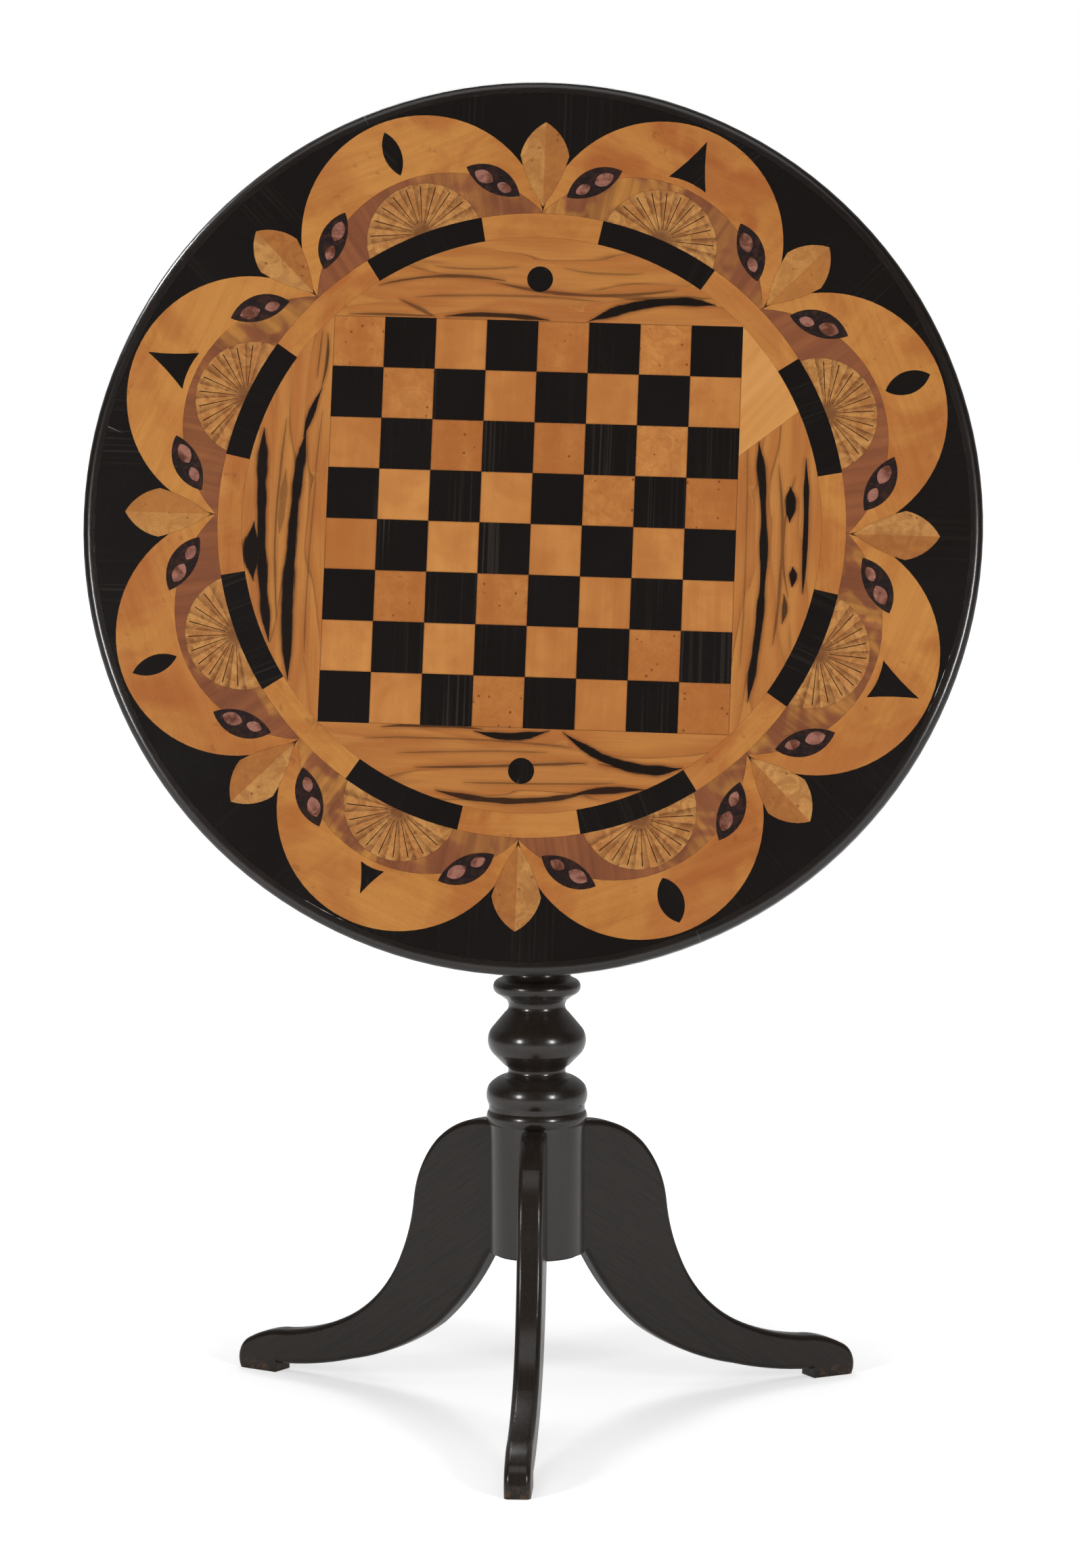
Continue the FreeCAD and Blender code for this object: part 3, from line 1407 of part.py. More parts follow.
def build_lobes():
    gap = mm.joint_gap
    half_gap = gap / 2
    edge_gap = math.degrees(half_gap / ring_outer.value)
    outer = field_radius.value
    parts = {
        name: []
        for name in (
            "lobe_crescents", "crescent_leaves", "crescent_darts", "lobe_fans", "lobe_fills",
            "lobe_scrolls", "scroll_eyes", "leaf_points_light", "leaf_points_dark", "ebony_ground",
        )
    }
    ring_clear = cutter(round_wire(Vector(), ring_outer.value + gap))
    for number in range(LOBES):
        leaf_angle = LOBE_STEP * number
        axis = leaf_angle + CUSP_ANGLE
        neighbours = (leaf_angle, leaf_angle + LOBE_STEP)
        leaves = [cutter(leaf_wire(angle, gap)) for angle in neighbours]
        scrolls = [cutter(scroll_wire(axis, side, gap)) for side in (1, -1)]
        wedge = cutter(
            ring_sector(
                ring_inner.value, outer, leaf_angle + edge_gap, leaf_angle + LOBE_STEP - edge_gap
            )
        )
        if number % 2 == 0:
            mark, mark_wire = "crescent_leaves", ebony_leaf_wire
        else:
            mark, mark_wire = "crescent_darts", dart_wire
        crescent = veneer(lobe_circle(axis, -half_gap)).common(wedge)
        crescent = crescent.cut([cutter(zone_circle(axis, half_gap)), ring_clear])
        crescent = crescent.cut(leaves + scrolls + [cutter(mark_wire(axis, gap))])
        parts["lobe_crescents"] += sound_pieces(crescent)
        parts[mark].append(veneer(mark_wire(axis)))

        fan = veneer(fan_circle(axis)).cut(ring_clear)
        parts["lobe_fans"] += sound_pieces(fan)
        fill = veneer(zone_circle(axis, -half_gap)).common(wedge)
        fill = fill.cut([ring_clear, cutter(fan_circle(axis, gap))] + leaves + scrolls)
        parts["lobe_fills"] += sound_pieces(fill)
        for side in (1, -1):
            scroll = veneer(scroll_wire(axis, side))
            scroll = scroll.cut([cutter(wire) for wire in eye_wires(axis, side, gap)])
            parts["lobe_scrolls"] += sound_pieces(scroll)
            parts["scroll_eyes"] += [veneer(wire) for wire in eye_wires(axis, side)]

        parts["leaf_points_light"].append(veneer(half_leaf_wire(leaf_angle, 1)))
        parts["leaf_points_dark"].append(veneer(half_leaf_wire(leaf_angle, -1)))
        ground = ring_sector(
            ring_outer.value + gap, outer,
            leaf_angle - CUSP_ANGLE + edge_gap, leaf_angle + CUSP_ANGLE - edge_gap,
        )
        lobes = [cutter(lobe_circle(leaf_angle + turn, half_gap)) for turn in (-CUSP_ANGLE, CUSP_ANGLE)]
        ground = veneer(ground).cut(lobes + [cutter(leaf_wire(leaf_angle, gap))])
        parts["ebony_ground"] += sound_pieces(ground)
    for name, solids in parts.items():
        feature(name, Part.makeCompound(solids), inlay_place)


def build_all():
    build_column()
    for node, degrees in LEG_ANGLES.items():
        build_leg(node, degrees)
    build_leg_plate()
    build_hinge_block()
    build_tenon_wedge()
    build_pivot_pins()
    build_keeper()
    build_catch_plate()
    build_catch_bolt()
    build_catch_spring()
    build_bearer("bearer_right", 1)
    build_bearer("bearer_left", -1)
    build_bearer_screws()
    build_core_planks()
    build_edge_moulding()
    build_squares()
    build_panels()
    build_ring()
    build_lobes()


def write_steps():
    """Check every object, then write one STEP file for each sub-part."""
    document.recompute()
    for item in document.Objects:
        if "Invalid" in item.State or "Error" in item.State:
            raise ValueError(f"{item.Label} failed: {item.State}")
    for node, item in subparts.items():
        shape = item.Shape
        if shape.isNull() or not shape.isValid() or not shape.Solids:
            raise ValueError(f"{node} has no sound solid")
    os.makedirs("parts", exist_ok=True)
    for node, item in subparts.items():
        item.Shape.exportStep(f"parts/{node}.step")
        print(f"{node}: {len(item.Shape.Solids)} solids, {item.Shape.Volume / 1000:.2f} cm3")


build_all()
write_steps()
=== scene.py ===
import json
import math
from functools import partial

import bmesh
import bpy
from mathutils import Euler, Matrix, Vector


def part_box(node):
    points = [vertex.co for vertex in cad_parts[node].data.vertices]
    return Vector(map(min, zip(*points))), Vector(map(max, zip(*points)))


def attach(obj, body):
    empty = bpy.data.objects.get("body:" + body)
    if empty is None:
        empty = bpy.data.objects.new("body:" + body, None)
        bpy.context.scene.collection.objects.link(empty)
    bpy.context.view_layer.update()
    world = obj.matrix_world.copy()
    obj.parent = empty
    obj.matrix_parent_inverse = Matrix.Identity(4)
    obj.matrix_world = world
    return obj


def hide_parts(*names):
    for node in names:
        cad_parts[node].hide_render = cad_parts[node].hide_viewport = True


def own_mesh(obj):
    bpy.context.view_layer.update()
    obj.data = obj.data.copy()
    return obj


bl_info = {
    "name": "Tilt-top games table",
    "version": (1, 0, 0),
    "blender": (4, 5, 0),
    "location": "3D View > Sidebar > Games table",
    "description": "Wood finishes, inlay details and studio for a tilt-top games table",
    "category": "Object",
}

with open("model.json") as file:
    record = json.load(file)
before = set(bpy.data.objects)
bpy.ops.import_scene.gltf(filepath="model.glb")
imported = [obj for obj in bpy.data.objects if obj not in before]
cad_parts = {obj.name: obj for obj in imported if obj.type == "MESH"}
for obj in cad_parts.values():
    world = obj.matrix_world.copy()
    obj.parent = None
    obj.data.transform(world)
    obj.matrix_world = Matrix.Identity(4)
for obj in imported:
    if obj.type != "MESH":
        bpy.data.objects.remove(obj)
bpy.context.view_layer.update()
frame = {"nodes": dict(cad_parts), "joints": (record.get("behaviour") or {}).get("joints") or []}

# The image that the camera is set for.
IMAGE_HEIGHT = 2317

LEG_NODES = ("front_leg", "right_leg", "left_leg")
# How steeply the grain runs down a leg.
LEG_GRAIN_SLOPE = math.radians(35)
PLANK_NODES = tuple(f"core_plank_{number}" for number in range(1, 5))
LOBES = 8
RING_BLOCKS = 16
# Squares from the middle of the board to its edge.
HALF_BOARD = 4
# Degrees from one rib of a fan to the next.
RIB_STEP = 18.0


def srgb(red, green, blue):
    """Linear colour of a display colour given in 0 to 255."""

    def linear(level):
        share = level / 255
        return share / 12.92 if share <= 0.04045 else ((share + 0.055) / 1.055) ** 2.4

    return (linear(red), linear(green), linear(blue), 1.0)


def grey(level):
    return (level, level, level, 1.0)


def inlay_centre():
    """The middle of the board's squares, which is the middle of the inlay."""
    boxes = [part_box(node) for node in ("squares_light", "squares_dark")]
    low = Vector(map(min, boxes[0][0], boxes[1][0]))
    high = Vector(map(max, boxes[0][1], boxes[1][1]))
    return (low + high) / 2


def joint_named(name):
    for joint in frame["joints"]:
        if joint["name"] == name:
            return joint
    raise RuntimeError(f"there is no joint named {name}")


def tilt_of_top():
    """Angle between the playing face and the level."""
    return math.radians(-min(joint_named("top_tilt")["range_deg"]))


# Properties


def shade(name, description, red, green, blue):
    return bpy.props.FloatVectorProperty(
        name=name,
        description=description,
        subtype="COLOR",
        size=4,
        min=0.0,
        max=1.0,
        default=srgb(red, green, blue),
    )


def amount(name, description, value, **options):
    return bpy.props.FloatProperty(
        name=name, description=description, default=value, min=0.0, **options
    )


def length(name, description, value):
    return amount(name, description, value, unit="LENGTH")


def angle(name, description, degrees):
    return bpy.props.FloatProperty(
        name=name,
        description=description,
        default=math.radians(degrees),
        subtype="ANGLE",
        unit="ROTATION",
    )


class GamesTableColours(bpy.types.PropertyGroup):
    ebony: shade("Ebony", "Ebony squares, ring blocks, marks and ground", 20, 16, 14)
    ebony_line: shade("Ebony line", "Fine pale lines in the ebony", 62, 54, 47)
    crack: shade("Crack", "Old crack in the ebony ground, filled with dull wax", 92, 87, 82)
    stain: shade("Ebonised wood", "Black stain of the stand, block, bearers and edge", 31, 28, 25)
    stain_worn: shade("Worn stain", "Brown that shows through the stain", 60, 44, 33)
    honey: shade("Honey wood", "Crescents and pale ring blocks", 192, 131, 63)
    honey_deep: shade("Deep honey", "Darker figure of the honey wood", 162, 91, 43)
    square: shade("Pale square", "Lightest of the pale squares", 200, 137, 72)
    square_deep: shade("Deep square", "Darkest of the pale squares", 164, 96, 44)
    burr: shade("Pale burr", "Fans and the pale halves of the pointed leaves", 195, 142, 80)
    burr_deep: shade("Deep burr", "Figure of the burr", 144, 88, 44)
    brown_burr: shade("Brown burr", "Darker halves of the pointed leaves", 172, 110, 55)
    pink_brown: shade("Pink-brown wood", "Fills between the fans and the crescents", 146, 88, 55)
    pink_deep: shade("Deep pink-brown", "Streaks of the fills", 97, 54, 38)
    scroll: shade("Scroll wood", "Dark scrolls beside the fans", 32, 23, 23)
    scroll_eye: shade("Scroll eye", "Small inlays in the scrolls", 160, 108, 92)
    scorch: shade("Scorch", "Brown of the fans' flutes, shaded in hot sand", 98, 58, 34)
    veined: shade("Veined wood", "Ground of the panels round the board", 181, 117, 60)
    veined_deep: shade("Brown vein", "Fine veins of the panels", 104, 58, 31)
    vein: shade("Black vein", "Heavy veins of the panels", 25, 17, 13)
    patch: shade("Patch", "Pale patch beside the board's corner", 205, 146, 82)
    core: shade("Core wood", "Planks under the veneers", 112, 78, 52)
    core_deep: shade("Deep core wood", "Grain of the planks", 66, 43, 28)
    wedge: shade("Wedge", "Sawn wedge in the tenon", 156, 118, 78)
    brass: shade("Brass", "Catch, keeper and their screws", 202, 172, 110)
    tarnish: shade("Tarnish", "Dull brown of old brass", 112, 86, 52)
    iron: shade("Iron", "Leg plate and pivot pins", 76, 73, 70)
    steel: shade("Steel", "Screws and spring", 168, 166, 164)
    rust: shade("Rust", "Rust on the iron and steel", 96, 62, 42)


class GamesTableSizes(bpy.types.PropertyGroup):
    pattern_turn: angle("Pattern turn", "Clockwise turn of the inlay on the top", 1.7)
    square_side: length("Square side", "Side of a square of the board", 0.043)
    ring_outer: length("Ring radius", "Outer radius of the ring of blocks", 0.2637)
    band: length("Band", "Width of the band from the ring to the lobes' crowns", 0.1014)
    rib_foot: length("Rib foot", "Width of a fan's ribs at the ring", 0.0004)
    rib_tip: length("Rib tip", "Width of a fan's ribs at their outer ends", 0.0008)
    rib_rise: length("Rib rise", "How far the ribs stand above the fans", 0.00005)
    rib_depth: length("Rib depth", "How far the ribs are let into the fans", 0.0006)
    easing: length("Easing", "Width of the eased edges of the block and bearers", 0.0012)


class GamesTableStudio(bpy.types.PropertyGroup):
    distance: length("Distance", "Camera from the column's axis", 3.8)
    height: length("Height", "Camera above the floor", 0.902)
    aside: length("Aside", "Camera to the right of the axis", 0.0027)
    pitch: angle("Pitch", "How far the camera looks down", 5.295)
    turn: angle("Turn", "Turn of the camera round the table", 2.85)
    focal_pixels: amount("Focal length", "Focal length in pixels of the full image", 6515.0)
    floor_radius: length("Floor radius", "Radius of the pale floor", 40.0)
    floor_glow: amount("Floor glow", "How white the floor is under the table, unlit", 0.5, max=1.0)
    floor_shine: amount("Floor shine", "How white the floor is to polish", 0.25, max=1.0)
    back_shine: amount("Back shine", "How bright polish sees the room behind the table", 0.25)
    front_shine: amount("Front shine", "How bright polish sees the room before the table", 0.03)
    softbox_watts: amount("Softboxes", "Power of each softbox", 23.5)
    top_watts: amount("Top light", "Power of the light overhead", 15.5)
    back_watts: amount("Back light", "Power of the light behind the table", 24.0)
    rim_watts: amount("Rim light", "Power of the narrow light on the rim", 0.2)
    fill: amount("Fill", "Strength of the light from all round", 0.26)


def colours():
    return bpy.context.scene.games_table_colours


def sizes():
    return bpy.context.scene.games_table_sizes


def studio():
    return bpy.context.scene.games_table_studio


# Shader nodes


class Tree:
    """Adds linked nodes to one shader node tree."""

    def __init__(self, tree):
        self.tree = tree

    def feed(self, socket, value):
        if isinstance(value, bpy.types.NodeSocket):
            self.tree.links.new(value, socket)
        else:
            socket.default_value = value

    def node(self, kind, inputs=None, **options):
        item = self.tree.nodes.new("ShaderNode" + kind)
        for option, value in options.items():
            setattr(item, option, value)
        for key, value in (inputs or {}).items():
            self.feed(item.inputs[key], value)
        return item

    def math(self, operation, *values, clamp=False):
        item = self.node("Math", dict(enumerate(values)), operation=operation, use_clamp=clamp)
        return item.outputs[0]

    def add(self, *values):
        return self.math("ADD", *values)

    def less(self, *values):
        return self.math("SUBTRACT", *values)

    def times(self, *values):
        return self.math("MULTIPLY", *values)

    def capped(self, value):
        """A value kept between 0 and 1."""
        return self.math("ADD", value, 0.0, clamp=True)

    def far(self, x, y):
        """Distance of a point from the middle."""
        return self.math("SQRT", self.add(self.times(x, x), self.times(y, y)))

    def larger(self, *values):
        """The largest of several values."""
        result = values[0]
        for value in values[1:]:
            result = self.math("MAXIMUM", result, value)
        return result

    def vector_math(self, operation, *values):
        item = self.node("VectorMath", dict(enumerate(values)), operation=operation)
        return item.outputs[0]

    def vector(self, x=0.0, y=0.0, z=0.0):
        return self.node("CombineXYZ", {"X": x, "Y": y, "Z": z}).outputs[0]

    def parts(self, vector):
        return self.node("SeparateXYZ", {"Vector": vector}).outputs

    def mix(self, factor, first, second):
        return self.node("Mix", {0: factor, 6: first, 7: second}, data_type="RGBA").outputs[2]

    def tint(self, colour, *tints):
        """A colour with others laid over it. Each has its mask, and its share where that is 1."""
        for other, mask, share in tints:
            colour = self.mix(self.times(mask, share), colour, other)
        return colour

    def step(self, value, low, high, start=0.0, finish=1.0):
        """Soft step of a value from one level to another."""
        inputs = {
            "Value": value, "From Min": low, "From Max": high, "To Min": start, "To Max": finish,
        }
        return self.node("MapRange", inputs, interpolation_type="SMOOTHSTEP").outputs["Result"]

    def fall(self, value, low, high):
        return self.step(value, low, high, 1.0, 0.0)

    def stretch(self, vector, scale, turn=(0.0, 0.0, 0.0), place=(0.0, 0.0, 0.0)):
        inputs = {"Vector": vector, "Scale": scale, "Rotation": turn, "Location": place}
        return self.node("Mapping", inputs).outputs["Vector"]

    def turned(self, vector, x=0.0, y=0.0, z=0.0):
        return self.stretch(vector, (1.0, 1.0, 1.0), (x, y, z))

    def noise(self, vector, scale, detail=2.0, roughness=0.5, distortion=0.0):
        inputs = {
            "Vector": vector, "Scale": scale, "Detail": detail,
            "Roughness": roughness, "Distortion": distortion,
        }
        return self.node("TexNoise", inputs).outputs[0]

    def streaks(self, vector, along, across, **options):
        """Noise drawn out along X, with its scale along and across."""
        return self.noise(self.stretch(vector, (along, across, across)), 1.0, **options)

    def chances(self, number, start=0.0):
        """Three random numbers for each number, and others for each start."""
        if start:
            number = self.add(number, start)
        noise = self.node("TexWhiteNoise", {"W": number}, noise_dimensions="1D")
        return list(self.parts(noise.outputs["Color"]))

    def group(self, name, inputs):
        """Place a node group and return its outputs."""
        item = self.tree.nodes.new("ShaderNodeGroup")
        item.node_tree = bpy.data.node_groups[name]
        for key, value in inputs.items():
            self.feed(item.inputs[key], value)
        return item.outputs

    def grain(self, vector, seed):
        return self.group("Wood grain", {"Vector": vector, "Seed": seed})

    def burr(self, vector, seed, scale):
        return self.group("Burr figure", {"Vector": vector, "Seed": seed, "Scale": scale})

    def sector(self, vector, count, turn=0.0):
        inputs = {"Vector": vector, "Count": count, "Turn": turn}
        return self.group("Ring sector", inputs)

    def square(self, vector):
        return self.group("Board square", {"Vector": vector, "Side": sizes().square_side})

    def shifted(self, vector, seed):
        """A place moved by its seed, so that like pieces show different parts of a pattern."""
        move = self.vector(seed, self.times(seed, 1.7), self.times(seed, 0.6))
        return self.vector_math("ADD", vector, move)

    def swapped(self, vector):
        """A place with X and Y exchanged, for grain that runs along Y."""
        x, y, z = self.parts(vector)[:3]
        return self.vector(y, x, z)

    def place(self):
        """Position on the table at rest."""
        return self.node("TexCoord").outputs["Object"]

    def inlay_place(self):
        """Position on the top: x across, y away from the player, z out of the face."""
        turn = Euler((-tilt_of_top(), 0.0, sizes().pattern_turn))
        centre = inlay_centre()
        return self.stretch(
            self.place(), (1.0, 1.0, 1.0), tuple(turn), tuple(-(turn.to_matrix() @ centre))
        )


def make_group(name, inputs, outputs, build):
    """A shader node group. Inputs have their values, and a socket named Vector holds one."""
    tree = bpy.data.node_groups.new(name, "ShaderNodeTree")

    def add_socket(label, in_out):
        kind = "NodeSocketVector" if label == "Vector" else "NodeSocketFloat"
        return tree.interface.new_socket(name=label, in_out=in_out, socket_type=kind)

    for label, value in inputs.items():
        add_socket(label, "INPUT").default_value = value
    for label in outputs:
        add_socket(label, "OUTPUT")
    start = tree.nodes.new("NodeGroupInput")
    end = tree.nodes.new("NodeGroupOutput")
    for label, value in build(Tree(tree), start.outputs).items():
        tree.links.new(value, end.inputs[label])


def grain_group(t, given):
    """Fibres run along X."""
    place = t.shifted(given["Vector"], given["Seed"])
    bend = t.times(t.less(t.streaks(place, 4.0, 14.0), 0.5), 0.012)
    bent = t.vector_math("ADD", place, t.vector(y=bend))
    tone = t.streaks(bent, 7.0, 42.0, detail=3.0, roughness=0.55)
    fibre = t.streaks(bent, 22.0, 620.0, detail=3.0, roughness=0.6)
    rings = t.streaks(bent, 3.0, 170.0)
    pores = t.streaks(bent, 150.0, 2100.0, detail=1.0)
    return {
        "Tone": t.step(tone, 0.32, 0.68),
        "Fibre": t.step(fibre, 0.3, 0.7),
        "Rings": t.step(rings, 0.36, 0.64),
        "Pores": t.step(pores, 0.62, 0.72),
    }


def burr_group(t, given):
    """Blotches, curling lines and small dark eyes of a burr."""
    place = t.shifted(given["Vector"], given["Seed"])
    scale = given["Scale"]
    blotch = t.noise(place, scale, detail=3.0, roughness=0.6, distortion=1.6)
    curl = t.noise(place, t.times(scale, 1.8), distortion=4.0)
    line = t.math("ABSOLUTE", t.less(curl, 0.5))
    inputs = {"Vector": place, "Scale": t.times(scale, 3.2), "Randomness": 1.0}
    cells = t.node("TexVoronoi", inputs).outputs
    size = t.step(t.parts(cells["Color"])[0], 0.72, 1.0, finish=0.34)
    eye = t.less(1.0, t.step(cells["Distance"], t.times(size, 0.55), size))
    return {
        "Blotch": t.step(blotch, 0.34, 0.66),
        "Curls": t.fall(line, 0.0, 0.045),
        "Eyes": t.times(eye, t.step(size, 0.0, 0.05)),
    }


def sector_group(t, given):
    """The piece of a ring that a point lies in: the place out and across there, and its number."""
    x, y, z = t.parts(given["Vector"])[:3]
    step = t.math("DIVIDE", math.tau, given["Count"])
    bearing = t.less(t.math("ARCTAN2", y, x), given["Turn"])
    number = t.math("ROUND", t.math("DIVIDE", bearing, step))
    middle = t.add(t.times(number, step), given["Turn"])
    cosine, sine = t.math("COSINE", middle), t.math("SINE", middle)
    out = t.add(t.times(x, cosine), t.times(y, sine))
    across = t.less(t.times(y, cosine), t.times(x, sine))
    whole = t.math("FLOORED_MODULO", number, given["Count"])
    return {"Vector": t.vector(out, across, z), "Number": whole}


def square_group(t, given):
    """Number of a square of the board, and nearness to its edges.

    The numbers of two lines lie 17 apart, so no two squares share one, and all are above zero.
    """
    columns, lines = [t.math("DIVIDE", v, given["Side"]) for v in t.parts(given["Vector"])[:2]]
    number = t.add(t.math("FLOOR", columns), t.times(t.math("FLOOR", lines), 17.0))
    near = t.larger(
        *(t.math("ABSOLUTE", t.less(t.math("FRACT", value), 0.5)) for value in (columns, lines))
    )
    return {"Number": t.add(number, 200.0), "Edge": t.step(near, 0.47, 0.498)}


def vein_group(t, given):
    """A dark vein along X that follows Level + Slope x + Bend x^2 and tapers at its ends."""
    x, y = t.parts(given["Vector"])[:2]
    seed, start, end, taper = (given[key] for key in ("Seed", "Start", "Finish", "Taper"))
    beside = t.add(x, seed)
    wander = t.less(t.noise(t.vector(beside, seed), 13.0, detail=1.5), 0.5)
    middle = t.add(given["Level"], t.times(x, t.add(given["Slope"], t.times(x, given["Bend"]))))
    middle = t.add(middle, t.times(wander, given["Wander"]))
    swell = t.step(t.noise(t.vector(beside, 5.0, seed), 24.0, detail=1.5), 0.3, 0.7, 0.4, 0.72)
    half = t.times(t.times(given["Width"], swell), t.step(x, start, t.add(start, taper)))
    half = t.add(t.times(half, t.fall(x, t.less(end, taper), end)), 0.00001)
    away = t.math("ABSOLUTE", t.less(y, middle))
    fray = t.times(t.less(t.streaks(given["Vector"], 50.0, 700.0), 0.5), 0.55)
    off = t.add(t.math("DIVIDE", away, half), fray)
    real = t.step(half, 0.00005, 0.00025)
    return {
        "Mask": t.times(real, t.fall(off, 0.75, 1.2)),
        "Halo": t.times(real, t.fall(t.less(away, half), 0.0, 0.0035)),
    }


def ebony_group(t, given):
    """Fine straight pale lines along X, strong in some places and absent in others."""
    place = t.shifted(given["Vector"], given["Seed"])
    lines = t.step(t.streaks(place, 3.0, 420.0, roughness=0.6), 0.5, 0.72)
    patches = t.step(t.streaks(place, 5.0, 26.0, detail=1.0), 0.42, 0.62)
    return {"Lines": t.times(lines, patches)}


def polish_group(t, given):
    """Roughness and fine relief of a hand-rubbed polish."""
    cloud = t.noise(given["Vector"], 9.0, detail=3.0, roughness=0.6)
    ripple = t.noise(given["Vector"], 190.0)
    dust = t.noise(given["Vector"], 700.0, roughness=0.7)
    rough = t.add(given["Roughness"], t.times(t.less(cloud, 0.5), given["Change"]))
    rough = t.add(rough, t.times(t.step(dust, 0.62, 0.8), 0.06))
    return {"Roughness": rough, "Height": t.times(ripple, 0.5)}


def make_groups():
    plain = {"Vector": (0.0, 0.0, 0.0)}
    wood = plain | {"Seed": 0.0}
    make_group("Wood grain", wood, ("Tone", "Fibre", "Rings", "Pores"), grain_group)
    make_group("Burr figure", wood | {"Scale": 60.0}, ("Blotch", "Curls", "Eyes"), burr_group)
    sector = plain | {"Count": 8.0, "Turn": 0.0}
    make_group("Ring sector", sector, ("Vector", "Number"), sector_group)
    make_group("Board square", plain | {"Side": 0.043}, ("Number", "Edge"), square_group)
    vein = wood | {
        "Level": 0.0, "Slope": 0.0, "Bend": 0.0, "Width": 0.003, "Wander": 0.004,
        "Start": -0.2, "Finish": 0.2, "Taper": 0.03,
    }
    make_group("Dark vein", vein, ("Mask", "Halo"), vein_group)
    make_group("Ebony lines", wood, ("Lines",), ebony_group)
    polish = plain | {"Roughness": 0.3, "Change": 0.15}
    make_group("Rubbed polish", polish, ("Roughness", "Height"), polish_group)


# Finishes

# How much the old polishes shine, against a new varnish at 0.5.
WAX_SHINE = 0.3
INLAY_SHINE = 0.4
VARNISH_ROUGHNESS = 0.2
# Roughness of the polish, and how much that clouds over.
EBONY_ROUGHNESS = 0.26
INLAY_ROUGHNESS = 0.27
CLOUDING = 0.12
# Depth of a finish's relief in metres, and how much of it shows.
RELIEF_DEPTH = 0.0002
RELIEF_STRENGTH = 0.5


def empty_tree(owner):
    """The cleared node tree of a material or a world."""
    owner.use_nodes = True
    owner.node_tree.nodes.clear()
    return Tree(owner.node_tree)


def finish(name, build, *nodes, constants=None, **settings):
    """Give CAD nodes a finish in place of the plain one.

    build draws its pattern from the settings, and the constants go on the shader itself.
    """
    material = bpy.data.materials.new(name)
    t = empty_tree(material)
    shader = t.node("BsdfPrincipled", constants)
    t.node("OutputMaterial", {"Surface": shader.outputs[0]})
    made = build(t, **settings)
    relief = {"Strength": RELIEF_STRENGTH, "Distance": RELIEF_DEPTH, "Height": made.pop("Height")}
    made["Normal"] = t.node("Bump", relief).outputs[0]
    for socket, value in made.items():
        t.feed(shader.inputs[socket], value)
    for node in nodes:
        slots = frame["nodes"][node].data.materials
        slots.clear()
        slots.append(material)


def wax(name, build, *nodes, gloss=0.25, **settings):
    """Wax under what is left of an old varnish; gloss is how much of the varnish is left."""
    constants = {
        "Specular IOR Level": WAX_SHINE, "Coat Weight": gloss, "Coat Roughness": VARNISH_ROUGHNESS,
    }
    finish(name, build, *nodes, constants=constants, **settings)


def inlay(name, build, *nodes, **settings):
    """Hand-rubbed polish on inlaid wood."""
    finish(name, build, *nodes, constants={"Specular IOR Level": INLAY_SHINE}, **settings)


def polished(t, colour, vector, height=None, roughness=INLAY_ROUGHNESS, change=CLOUDING):
    """Colour with the polish's roughness, and its relief added to the wood's own."""
    polish = t.group(
        "Rubbed polish", {"Vector": vector, "Roughness": roughness, "Change": change}
    )
    relief = polish["Height"] if height is None else t.add(polish["Height"], height)
    return {"Base Color": colour, "Roughness": polish["Roughness"], "Height": relief}


def stained_wood(t, follow, marks=False, scuffs=False):
    """Black stained wood with its grain just showing.

    follow gives the position with the grain along X, marks are the lathe's fine rings, and
    scuffs wear the stain off near the floor.
    """
    place = t.place()
    grain = t.grain(follow(t), 2.3)
    c = colours()
    rubbed = t.step(t.noise(place, 16.0, detail=4.0, roughness=0.65), 0.6, 0.8, finish=0.45)
    eased = t.node("Attribute", attribute_name="eased_edge").outputs["Fac"]
    worn = t.step(t.noise(place, 60.0, detail=4.0, roughness=0.7), 0.42, 0.62, 0.1, 0.9)
    colour = t.tint(
        c.stain,
        (c.stain_worn, grain["Fibre"], 0.35),
        (c.stain_worn, rubbed, grain["Tone"]),
        (c.stain_worn, eased, worn),
    )
    height = t.times(grain["Pores"], -0.25)
    if marks:
        rings = t.noise(t.stretch(place, (0.0, 0.0, 900.0)), 1.0, roughness=0.7)
        height = t.add(height, t.times(rings, 0.3))
    if scuffs:
        low = t.fall(t.parts(place)[2], 0.001, 0.014)
        patches = t.noise(place, 150.0, detail=4.0, roughness=0.7)
        bare = t.times(low, t.step(patches, 0.48, 0.62))
        colour = t.tint(colour, (c.core, bare, 0.55))
        height = t.add(height, t.times(bare, -0.4))
    return polished(t, colour, place, height, EBONY_ROUGHNESS)


def up_the_column(t):
    return t.turned(t.place(), y=math.pi / 2)


def along_bearer(t):
    """Position with X away from the player, as the bearers and their grain run."""
    return t.swapped(t.inlay_place())


def down_leg(t, node):
    """Position with X down the slope of one leg, away from the column."""
    low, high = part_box(node)
    heading = math.atan2(low.y + high.y, low.x + high.x)
    return t.turned(t.turned(t.place(), z=-heading), y=-LEG_GRAIN_SLOPE)


def moulding_wood(t):
    """Ebony-stained wood whose grain follows each curved length of the edge."""
    place = t.inlay_place()
    cell = t.sector(place, LOBES, math.pi / LOBES)
    grain = t.grain(t.swapped(cell["Vector"]), cell["Number"])
    c = colours()
    rub = t.noise(place, 22.0, detail=4.0, roughness=0.7)
    colour = t.tint(c.ebony, (c.stain_worn, grain["Fibre"], 0.2))
    colour = t.mix(t.step(rub, 0.58, 0.78, finish=0.3), colour, c.stain_worn)
    return polished(t, colour, place, t.times(grain["Pores"], -0.5), roughness=0.3, change=0.18)


